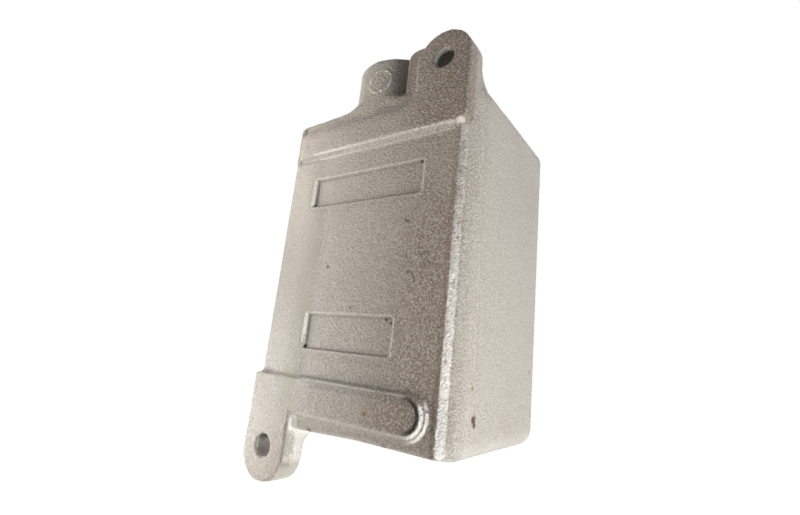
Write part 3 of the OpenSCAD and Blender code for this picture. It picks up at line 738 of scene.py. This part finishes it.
# Places of the ground strip along the -X edge, the reddish dirt and painted shade beside it and the mould
# seam on the side
STRIP_Y = (-6 * MM, -5 * MM)
STRIP_Z = (-62 * MM, 43 * MM)
STRIP_X, STRIP_SOFT = (-41 * MM, -39 * MM), 0.2 * MM
STRIP_WANDER = 0.12 * MM
STRIP_BRIGHT_Z = (-62 * MM, 35 * MM)
STRIP_SKIN_Z = (-30 * MM, 35 * MM)
SHADE_X, SHADE_SOFT = (-39 * MM, -37.2 * MM), 0.6 * MM
SHADE_Z = (10 * MM, -45 * MM)
SEAM_SIDE_X = (-43 * MM, -42 * MM)
SEAM_Y, BELOW_SEAM_Y = (-12.6 * MM, -12.2 * MM), (-13.2 * MM, -12.8 * MM)
SEAM_SOFT = 0.25 * MM
SEAM_SLANT = -0.045
SEAM_WANDER = 0.5 * MM
SEAM_HEIGHT = 0.18 * MM
FILE_DEPTH = 0.16 * MM
PIT_DEPTH = 0.25 * MM


def ragged(tree, shape, fleck):
    """A mask with a broken outline."""
    return combine(tree, shape, spread(tree, fleck, 0.2, 0.5))


def shift(tree, value, wander, reach):
    """A coordinate that wanders to both sides, so that a line along it isn't straight."""
    return combine(tree, value, spread(tree, wander, 0.2, 0.8, -reach, reach), "ADD")


def seam_lines(tree, x, y, z, wander, fleck):
    """The mould seam on the side and the dark line below it."""
    slanted = combine(tree, y, combine(tree, z, SEAM_SLANT), "ADD")
    slanted = shift(tree, slanted, wander, SEAM_WANDER)
    on_side = spread(tree, x, *SEAM_SIDE_X, 1.0, 0.0)
    seam = all_of(tree, band(tree, slanted, *SEAM_Y, SEAM_SOFT), on_side, spread(tree, fleck, 0.35, 0.6))
    below = all_of(tree, band(tree, slanted, *BELOW_SEAM_Y, SEAM_SOFT), on_side, 0.2)
    return seam, below


def back_marks(tree, where, tone, rough, bump):
    """All marks of the back and of the side next to it: dirt, wear, painted shade and highlights, ground
    edge, rust, pits and seam.
    """
    x, y, z = along(tree, where)
    wander = noise(tree, where, WANDER_SIZE)
    fleck = noise(tree, where, FLECK_SIZE)
    tone, bar_end_shade = back_dirt_and_shade(tree, where, tone, fleck)
    tone, highlight_mask = back_highlights_and_shade(tree, where, tone, fleck)
    rough = combine(tree, rough, combine(tree, bar_end_shade, 0.4), "ADD")

    # Reddish dirt and painted shade in the crease beside the ground strip.
    beside_edge = combine(tree, spread(tree, y, *STRIP_Y), band(tree, z, *STRIP_Z, END_SOFT))
    shifted = shift(tree, x, wander, STRIP_WANDER)
    shade = combine(tree, beside_edge, band(tree, shifted, *SHADE_X, SHADE_SOFT))
    shade = combine(tree, shade, spread(tree, z, *SHADE_Z, 0.3, 0.75))
    shade = combine(tree, shade, spread(tree, fleck, 0.3, 0.6, 1.2, 0.5))
    tone = tint(tree, shade, tone, RED_DIRT_AND_SHADE)

    strip = combine(tree, beside_edge, band(tree, shifted, *STRIP_X, STRIP_SOFT))
    # The strip is painted brighter towards the bottom.
    lower_brighter = spread(tree, z, *STRIP_BRIGHT_Z, 1.0, 0.5)
    left_on = combine(tree, fleck, spread(tree, z, *STRIP_SKIN_Z, 0.0, 0.16), "SUBTRACT")
    bare_and_highlights = all_of(tree, strip, lower_brighter, spread(tree, left_on, 0.15, 0.45))
    # Painted highlights by the ground strip, with one real nick.
    for centre, radius in HIGHLIGHT_AND_NICK_SPOTS:
        bare_and_highlights = combine(tree, bare_and_highlights, ragged(tree, spot(tree, where, centre, radius), fleck), "MAXIMUM")
    tone = tint(tree, bare_and_highlights, tone, BARE_METAL_AND_SHEEN)
    rough = combine(tree, rough, combine(tree, bare_and_highlights, -0.12), "ADD")
    file_line = combine(tree, combine(tree, x, y, "SUBTRACT"), z, "ADD")
    bump = relief(tree, combine(tree, streaks(tree, file_line, FILE_SIZE), strip), FILE_DEPTH, bump)

    # The recess corners get painted shade; the other marks are real rust, pits, specks and nicks.
    marks = ((RUST_SPOTS, RUST), (DEEP_PITS, DEEP_RUST), (DARK_SPECKS, GREY_DIRT_AND_SHADE),
             (CORNER_SHADE_SPOTS, BLACK_SHADE), (EDGE_NICKS, GREY_DIRT_AND_SHADE))
    for spots, colour in marks:
        for centre, radius in spots:
            mark = ragged(tree, spot(tree, where, centre, radius), fleck)
            tone = tint(tree, mark, tone, colour)

    pitted = combine(tree, spread(tree, fleck, 0.58, 0.68), spot(tree, where, PITTED_PLACE, PITTED_RADIUS))
    tone = tint(tree, combine(tree, pitted, 0.75), tone, GREY_DIRT_AND_SHADE)
    bump = relief(tree, pitted, -PIT_DEPTH, bump)

    seam, below_seam = seam_lines(tree, x, y, z, wander, fleck)
    tone = tint(tree, combine(tree, seam, 0.5), tone, BARE_METAL_AND_SHEEN)
    tone = tint(tree, below_seam, tone, GREY_DIRT_AND_SHADE)
    bump = relief(tree, seam, SEAM_HEIGHT, bump)
    # Painted highlights and bare metal get more metallic, so that they mirror the white surroundings.
    bright = combine(tree, highlight_mask, combine(tree, bare_and_highlights, 0.45), "MAXIMUM")
    metal = spread(tree, bright, 0.0, 1.0, CAST_METAL, HIGHLIGHT_METAL)
    return tone, rough, bump, metal


# Finishes of the other pieces

TONE_SIZE = 9 * MM
ROUGH_SPREAD = 0.06
BRUSHED_ACROSS = (24, 1, 1)


def plain_finish(name, colour, shade, metallic, roughness, grain_size, grain_depth, stretch=(1, 1, 1)):
    """A finish with a little grain and uneven tone."""
    material, tree, shader = start_material(name)
    where = place(tree)
    grain = noise(tree, drawn_out(tree, where, stretch), grain_size, 3.0)
    clouds = noise(tree, where, TONE_SIZE)
    tone = tint(tree, spread(tree, clouds, 0.3, 0.7), colour, shade)
    rough = spread(tree, grain, 0.3, 0.7, roughness - ROUGH_SPREAD, roughness + ROUGH_SPREAD)
    feed(tree, shader, Base_Color=tone, Roughness=rough, Metallic=metallic)
    feed(tree, shader, Normal=relief(tree, grain, grain_depth))
    return material


body_finish = finish_body()
cover_finish = finish_cover()
zinc_finish = plain_finish(
    "zinc_plate", rgb(0.42, 0.42, 0.40), rgb(0.34, 0.34, 0.31), 0.9, 0.36, 0.4 * MM, 0.01 * MM)
wire_finish = plain_finish(
    "drawn_wire", rgb(0.50, 0.50, 0.50), rgb(0.42, 0.42, 0.41), 0.9, 0.3, 0.3 * MM, 0.01 * MM)
rubber_finish = plain_finish(
    "gasket_rubber", rgb(0.035, 0.035, 0.035), rgb(0.05, 0.05, 0.048), 0.0, 0.7, 0.5 * MM, 0.03 * MM)
alloy_finish = plain_finish(
    "operator_alloy", rgb(0.55, 0.55, 0.55), rgb(0.47, 0.47, 0.46), 0.9, 0.42, 0.6 * MM, 0.03 * MM)
plated_finish = plain_finish(
    "bright_plate", rgb(0.56, 0.56, 0.56), rgb(0.48, 0.48, 0.47), 1.0, 0.2, 0.8 * MM, 0.002 * MM)
legend_finish = plain_finish(
    "satin_legend", rgb(0.42, 0.42, 0.42), rgb(0.36, 0.36, 0.355), 0.9, 0.4, 0.25 * MM, 0.012 * MM,
    BRUSHED_ACROSS)
button_finish = plain_finish(
    "button_plastic", rgb(0.012, 0.012, 0.012), rgb(0.02, 0.02, 0.02), 0.0, 0.28, 0.6 * MM, 0.008 * MM)
block_finish = plain_finish(
    "moulded_block", rgb(0.07, 0.03, 0.016), rgb(0.10, 0.045, 0.025), 0.0, 0.4, 0.8 * MM, 0.02 * MM)
brass_finish = plain_finish(
    "stamped_brass", rgb(0.62, 0.42, 0.16), rgb(0.54, 0.36, 0.14), 1.0, 0.32, 0.5 * MM, 0.01 * MM)
green_finish = plain_finish(
    "earth_green", rgb(0.03, 0.22, 0.06), rgb(0.04, 0.28, 0.08), 0.2, 0.4, 0.5 * MM, 0.01 * MM)

CARRIED_OVER = {
    "cover_gasket": rubber_finish, "operator_gasket": rubber_finish,
    "operator_body": alloy_finish, "button_stem": zinc_finish, "stem_clip": zinc_finish,
    "contact_housing": block_finish, "contact_base": block_finish, "contact_carrier": block_finish,
    "block_screws": zinc_finish, "terminal_clamps": zinc_finish, "terminal_screws": zinc_finish,
    "bridge_contact": brass_finish, "fixed_contacts": brass_finish,
    "earth_screw": green_finish, "earth_washer": zinc_finish,
}
for node_name, finish in CARRIED_OVER.items():
    nodes[node_name].data.materials.clear()
    nodes[node_name].data.materials.append(finish)


# Castings

CASTING_VOXEL = 0.6 * MM
BODY_FACES = 190000
COVER_FACES = BODY_FACES // 3
RIPPLE_SIZE = 11 * MM
RIPPLE_DEPTH = 0.22 * MM
# Depths next to the joint of the two castings that stay sharp, as machined
BODY_SHARP = 2 * MM
COVER_SHARP = 1.5 * MM
# The part of the shoulder that is softened most
SHOULDER_LOW, SHOULDER_HIGH = 52 * MM, 63 * MM
SHOULDER_FRONT = -24 * MM
SHOULDER_HALF = 30 * MM


def cast_copy(node, name):
    """A copy of a solid with an even skin, whose edges can be softened as a mould softens them."""
    piece = copy_of(node, name)
    use_modifier(piece, "REMESH", mode="VOXEL", voxel_size=CASTING_VOXEL, adaptivity=0.0)
    return piece


def soften(piece, repeat, test):
    select_points(piece, test)
    bpy.ops.mesh.vertices_smooth(factor=0.5, repeat=repeat)
    done()


def ripple(piece, test):
    """Makes the faces of a casting slightly uneven where the test says so."""
    texture = bpy.data.textures.new(piece.name + "_ripple", "CLOUDS")
    texture.noise_scale = RIPPLE_SIZE
    skin = piece.vertex_groups.new(name="skin")
    skin.add([v.index for v in piece.data.vertices if test(v.co)], 1.0, "REPLACE")
    use_modifier(
        piece, "DISPLACE", texture=texture, texture_coords="LOCAL",
        strength=RIPPLE_DEPTH, mid_level=0.5, vertex_group=skin.name)


def thin_out(piece, faces):
    """Brings a piece down to this number of triangles and smooths its shading."""
    piece.data.calc_loop_triangles()
    count = len(piece.data.loop_triangles)
    if count > faces:
        use_modifier(piece, "DECIMATE", ratio=faces / count)
    pick(piece)
    bpy.ops.object.shade_smooth()


def note_edges(piece):
    """Stores where a piece has outer edges and where it has hollows, for its finish."""
    pick(piece)
    bpy.ops.geometry.color_attribute_add(
        name=EDGE_LAYER, domain="POINT", data_type="FLOAT_COLOR", color=(1, 1, 1, 1))
    bpy.ops.paint.vertex_color_dirt(
        blur_strength=1.0, blur_iterations=1, clean_angle=math.radians(110),
        dirt_angle=math.radians(70), normalize=False)


# Centre, radius and push of each dent, in millimetres
DENTS = (
    ((-44.25, -15.2, -49.7), 1.8, (0.9, 0, 0)),
    ((-44.25, -62.6, -33.5), 1.4, (0.7, 0, 0)),
    ((-40.0, -3.0, -9.8), 1.2, (0.5, -0.5, 0)),
    ((11.1, -3.0, -61.5), 1.6, (0, 0, 0.6)),
    ((-21.3, -3.0, -60.6), 1.6, (0, 0, 0.6)),
)


def panel_level(x, z):
    """Height of the back panel, which rises a little towards its +X margin."""
    foot = MARGIN_FOOT_X + MARGIN_SHIFT * ease(z, *MARGIN_SHIFT_Z)
    share = np.clip((x - foot) / MARGIN_WIDTH, 0, 1)
    return PANEL_Y + MARGIN_RISE * (1 - (1 - share) ** 2)


def shape_panel(points):
    """Raised margin and the two recesses, which have sloping walls and a thin lip."""
    x, y, z = points.T
    between = (z > PANEL_LOW) & (z < PANEL_HIGH)
    level = panel_level(x, z)
    rim = between & (x > PANEL_END_X) & (y > RIM_FOOT_Y)
    lowered = y - RIM_DROP * ease(y, RIM_FOOT_Y, RIM_TOP_Y)
    y[rim] = np.where(x < MARGIN_END_X, np.maximum(lowered, level), lowered)[rim]
    flat = between & (x <= PANEL_END_X) & (x > PANEL_START_X) & (y > PANEL_DEEPEST)
    for width, height, middle in RECESSES:
        inside = np.minimum(width / 2 - abs(x), height / 2 - abs(z - middle))
        lip = LIP_HEIGHT * np.exp(-((inside / LIP_WIDTH + 1) ** 2))
        depth = np.clip(inside / RECESS_SLOPE, 0, 1)
        near = inside > -2 * LIP_WIDTH
        level = np.where(near, level + lip * (inside < 0) + (RECESS_Y - level) * depth, level)
    y[flat] = level[flat]


def shape_bar(points):
    """Rounded end of the lower pad, with a ledge in its slope."""
    x, y, z = points.T
    beyond = np.maximum(BAR_END_X - x, 0)
    off = z - BAR_Z
    reach = np.hypot(beyond, off)
    width = BAR_SLOPE + BAR_LEAN * (beyond - off) / np.maximum(reach, 1e-6)
    down = np.clip((reach - BAR_RADIUS) / width, 0, 1)
    plain = 1 - down
    stepped = np.interp(down, LEDGE_OUT, LEDGE_HEIGHT)
    at_end = ease(x, *LEDGE_X)
    height = PAD_HEIGHT * (plain + (stepped - plain) * at_end)
    here = (x < BAR_SHAPED_X) & (down < 1) & (y > BAR_DEEPEST)
    y[here] = (PANEL_Y + height)[here]


def shape_hub(points):
    """Round back of the hub with the thin ring that a mould pin left on it."""
    x, y, z = points.T
    across, out = x - HUB_X, y - HUB_Y
    radius = np.hypot(across, out)
    ring = np.hypot(across - RING_X, z - RING_Z) - RING_RADIUS
    ridge = RING_HEIGHT * np.exp(-((ring / RING_WIDTH) ** 2))
    here = (z > RING_FIELD_LOW) & (z < RING_FIELD_HIGH) & (out > 0) & (abs(radius - HUB_RADIUS) < HUB_SKIN)
    stretch = np.where(here, (HUB_RADIUS + ridge) / np.maximum(radius, MM), 1)
    x[:] = HUB_X + across * stretch
    y[:] = HUB_Y + out * stretch


def shape_back(points):
    """The small ways in which the casting departs from plain forms."""
    x, y, z = points.T
    shape_panel(points)
    shape_bar(points)
    shape_hub(points)
    z -= SHOULDER_SAG * ease(x, *SHOULDER_SAG_X) * ease(z, *SHOULDER_SAG_Z)
    foot = ease(x, *FOOT_SAG_X) * ease(x, *FOOT_LEVEL_X) * ease(y, *FOOT_SAG_Y)
    z -= FOOT_SAG * foot * ease(z, *FOOT_SAG_Z)
    for centre, radius, push in DENTS:
        apart = np.linalg.norm(points - np.array(centre) * MM, axis=1) / (radius * MM)
        depth = np.clip(1 - apart * apart, 0, 1) ** 2
        points += depth[:, None] * np.array(push) * MM


THREAD_PITCH = 25.4 / 14 * MM
THREAD_TURNS = 7
THREAD_IN = 0.6 * MM
THREAD_ROOT = 0.5 * MM
THREAD_STEPS = 48
THREAD_BELOW_TOP = 1.6 * MM
# Each corner of the ridge: how far out from the bore, and which share of the pitch up
THREAD_PROFILE = ((-THREAD_IN, 0.5), (THREAD_ROOT, 0.95), (THREAD_ROOT, 0.05))


def make_thread():
    """Helical ridge in the tapped bore of the hub."""
    bore = hub_mount["dims"]["r_mm"] * MM
    length = THREAD_PITCH * THREAD_TURNS
    start = body_high.z - THREAD_BELOW_TOP - length
    deselect_all()
    bpy.ops.mesh.primitive_circle_add(vertices=3, radius=THREAD_PITCH / 2)
    ridge = bpy.context.object
    ridge.name = "hub_thread"
    for vertex, (out, rise) in zip(ridge.data.vertices, THREAD_PROFILE):
        vertex.co = bore + out, 0, rise * THREAD_PITCH
    use_modifier(
        ridge, "SCREW", axis="Z", angle=2 * math.pi, screw_offset=THREAD_PITCH,
        iterations=THREAD_TURNS, steps=THREAD_STEPS, render_steps=THREAD_STEPS)
    merge(ridge)
    edit_all(ridge)
    bpy.ops.mesh.fill_holes(sides=3)
    bpy.ops.mesh.select_all(action="SELECT")
    bpy.ops.mesh.normals_make_consistent(inside=False)
    bpy.ops.transform.translate(value=(HUB_X, HUB_Y, start))
    done()
    return ridge


def on_shoulder(co):
    at_height = SHOULDER_LOW < co.z < SHOULDER_HIGH
    return at_height and co.y > SHOULDER_FRONT and abs(co.x) < SHOULDER_HALF


def make_body():
    body = cast_copy("body_casting", "cast_body")
    front = body_low.y + BODY_SHARP
    soften(body, 3, lambda co: co.y > front)
    soften(body, 16, on_shoulder)
    reshape(body, shape_back)
    soften(body, 1, lambda co: co.y > front)
    ripple(body, lambda co: co.y > front)
    thin_out(body, BODY_FACES)
    join(body, make_thread())
    note_edges(body)
    settle(body, "body_casting", "enclosure", body_finish)


def make_cover():
    cover = cast_copy("cover", "cast_cover")
    back = cover_back - COVER_SHARP
    soften(cover, 6, lambda co: co.y < back)
    ripple(cover, lambda co: co.y < back)
    thin_out(cover, COVER_FACES)
    note_edges(cover)
    settle(cover, "cover", "enclosure", cover_finish)


make_body()
make_cover()


# Pieces on the front

EDGE_BREAK = 0.25 * MM
SCREW_BREAK = 0.12 * MM
RING_BREAK = 0.5 * MM
BUTTON_BREAK = 0.45 * MM
HEAD_LEAN = math.radians(60)
HEAD_FACE = 0.95
CONE_EXTRA = 1 * MM
WASHER_WIDTH = 11 * MM
LEGEND_CORNER = 3 * MM
LEGEND_NEAR = 0.1 * MM
BUTTON_NEAR = 0.05 * MM
# Width and depth of each ring of the button's dish, from its rim inwards
DISH_RINGS = ((1.2 * MM, 0.0), (1.6 * MM, -0.5 * MM), (2.4 * MM, -0.25 * MM))


def make_screws():
    """Hexagon screws whose heads have a turned chamfer."""
    screw = clean_copy("cover_screws", "cover_hex_screws")
    select_points(screw, lambda co: co.x < 0 or co.z < 0)
    bpy.ops.mesh.delete(type="VERT")
    done()
    centre_x = (washers_high.x - washers_low.x - WASHER_WIDTH) / 2
    centre_z = (washers_high.z - washers_low.z - WASHER_WIDTH) / 2
    length = screws_high.y - screws_low.y
    middle_y = (screws_low.y + screws_high.y + CONE_EXTRA) / 2
    face = HEAD_FACE * (screws_high.z - centre_z)
    deselect_all()
    bpy.ops.mesh.primitive_cone_add(
        vertices=64, radius1=face, radius2=face + length * math.tan(HEAD_LEAN), depth=length + CONE_EXTRA,
        rotation=(-math.pi / 2, 0, 0), location=(centre_x, middle_y, centre_z))
    cone = bpy.context.object
    use_modifier(screw, "BOOLEAN", operation="INTERSECT", object=cone, solver="EXACT")
    bpy.data.objects.remove(cone)
    break_edges(screw, SCREW_BREAK, 2)
    others = []
    for across, up in ((centre_x, 0), (0, centre_z), (centre_x, centre_z)):
        pick(screw)
        bpy.ops.object.duplicate()
        others.append(bpy.context.object)
        edit_all(others[-1])
        bpy.ops.transform.translate(value=(-2 * across, 0, -2 * up))
        done()
    join(screw, *others)
    settle(screw, "cover_screws", "enclosure", zinc_finish)


def make_washers():
    washers = clean_copy("cover_washers", "screw_washers")
    break_edges(washers, EDGE_BREAK)
    settle(washers, "cover_washers", "enclosure", zinc_finish)


def make_legend():
    """Blank plate with round corners."""
    plate = clean_copy("legend_plate", "blank_legend")
    top = legend_top - LEGEND_NEAR
    select_edges(plate, lambda a, b: a.z > top and b.z > top and abs(a.x - b.x) < LEGEND_NEAR)
    bpy.ops.mesh.bevel(offset=LEGEND_CORNER, segments=8, affect="EDGES")
    done()
    break_edges(plate, EDGE_BREAK)
    settle(plate, "legend_plate", "enclosure", legend_finish)


def make_ring():
    ring = clean_copy("mounting_ring", "clamp_ring")
    break_edges(ring, RING_BREAK)
    settle(ring, "mounting_ring", "enclosure", plated_finish)


def make_button():
    """Button with a rounded rim and a shallow dish."""
    button = clean_copy("button_cap", "push_button")
    front = button_front + BUTTON_NEAR
    select_faces(button, lambda face: face.center.y < front)
    for width, depth in DISH_RINGS:
        bpy.ops.mesh.inset(thickness=width, depth=depth)
    done()
    break_edges(button, BUTTON_BREAK, 4)
    settle(button, "button_cap", "button", button_finish)


make_screws()
make_washers()
make_legend()
make_ring()
make_button()


# Springs

def make_spring(node, name):
    """A smoothed, round-wired coil with a mesh of its own."""
    spring = copy_of(node, name)
    use_modifier(spring, "SUBSURF", levels=1, render_levels=1)
    pick(spring)
    bpy.ops.object.shade_smooth()
    settle(spring, node, "enclosure", wire_finish)
    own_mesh(spring)


make_spring("return_spring", "button_return_spring")
make_spring("carrier_spring", "carrier_lift_spring")


# Camera, at the photograph's viewing angle

CAMERA_PLACE = Vector((-104.1, 112.9, -33.0)) * MM
CAMERA_RIGHT = Vector((-0.8162, -0.5683, 0.1039))
CAMERA_UP = Vector((-0.0407, 0.2360, 0.9709))
CAMERA_LENS = 19.72

camera_data = bpy.data.cameras.new("camera")
camera_data.lens = CAMERA_LENS
camera_data.clip_start = 1 * MM
camera = bpy.data.objects.new("camera", camera_data)
bpy.context.scene.collection.objects.link(camera)
backwards = CAMERA_RIGHT.cross(CAMERA_UP)
turn = Matrix((CAMERA_RIGHT, CAMERA_UP, backwards)).transposed()
camera.matrix_world = Matrix.Translation(CAMERA_PLACE) @ turn.to_4x4()
bpy.context.scene.camera = camera


# Floor, surroundings and lamps

FLOOR_DROP = 0.25
FLOOR_WIDTH = 12.0
WORLD_GREY = rgb(0.06, 0.06, 0.06)
FLOOR_GLOW = 0.94
WHITE = rgb(1.0, 1.0, 1.0)
FLOOR_PAINT = rgb(0.8, 0.8, 0.8)
LAMP_AIM = Vector((0, -10, 0)) * MM
COOL, PALE_BLUE = (0.92, 0.96, 1.0), (0.86, 0.93, 1.0)
WARM, AMBER = (1.0, 0.82, 0.62), (1.0, 0.7, 0.4)
SOFT_WHITE, PURE_WHITE = (1.0, 0.98, 0.95), (1, 1, 1)
# Name, place and size in millimetres, power and colour of each lamp
LAMPS = (
    ("near_left_lamp", (130, 70, 60), 60, 0.079, COOL),
    ("low_left_lamp", (100, 45, -60), 80, 0.090, PALE_BLUE),
    ("high_left_lamp", (160, 80, 110), 120, 0.13, WARM),
    ("far_left_lamp", (250, 120, -160), 150, 0.3, AMBER),
    ("right_lamp", (-360, 15, 0), 120, 0.4, SOFT_WHITE),
    ("low_right_lamp", (-300, 15, -160), 120, 0.8, SOFT_WHITE),
    ("under_lamp", (-120, -60, -330), 150, 0.5, PURE_WHITE),
    ("front_lamp", (330, -480, 300), 300, 3.6, PURE_WHITE),
)


def white_for_view(tree):
    """1 for what the camera, mirrors and glass see, and 0 for the light that falls on things."""
    path = add(tree, "ShaderNodeLightPath").outputs
    seen = combine(tree, path["Is Camera Ray"], path["Is Glossy Ray"], "MAXIMUM")
    return combine(tree, seen, path["Is Transmission Ray"], "MAXIMUM")


def make_surroundings():
    world = bpy.data.worlds.new("studio")
    bpy.context.scene.world = world
    world.use_nodes = True
    tree = world.node_tree
    colour = tint(tree, white_for_view(tree), WORLD_GREY, WHITE)
    feed(tree, tree.nodes["Background"], Color=colour)


def make_floor():
    deselect_all()
    bpy.ops.mesh.primitive_plane_add(size=FLOOR_WIDTH, location=(0, 0, body_low.z - FLOOR_DROP))
    floor = bpy.context.object
    floor.name = "floor"
    material, tree, shader = start_material("pale_floor")
    feed(tree, shader, Base_Color=FLOOR_PAINT, Roughness=0.9)
    glow = combine(tree, white_for_view(tree), FLOOR_GLOW)
    feed(tree, shader, Emission_Color=WHITE, Emission_Strength=glow)
    floor.data.materials.append(material)


def make_lamp(name, place_mm, size_mm, power, colour):
    lamp = bpy.data.lights.new(name, "AREA")
    lamp.energy = power
    lamp.color = colour
    lamp.size = size_mm * MM
    holder = bpy.data.objects.new(name, lamp)
    bpy.context.scene.collection.objects.link(holder)
    holder.location = Vector(place_mm) * MM
    way = LAMP_AIM - holder.location
    holder.rotation_euler = way.to_track_quat("-Z", "Y").to_euler()
    holder.visible_camera = False


make_surroundings()
make_floor()
for lamp_row in LAMPS:
    make_lamp(*lamp_row)

bpy.context.scene.view_settings.view_transform = "Standard"
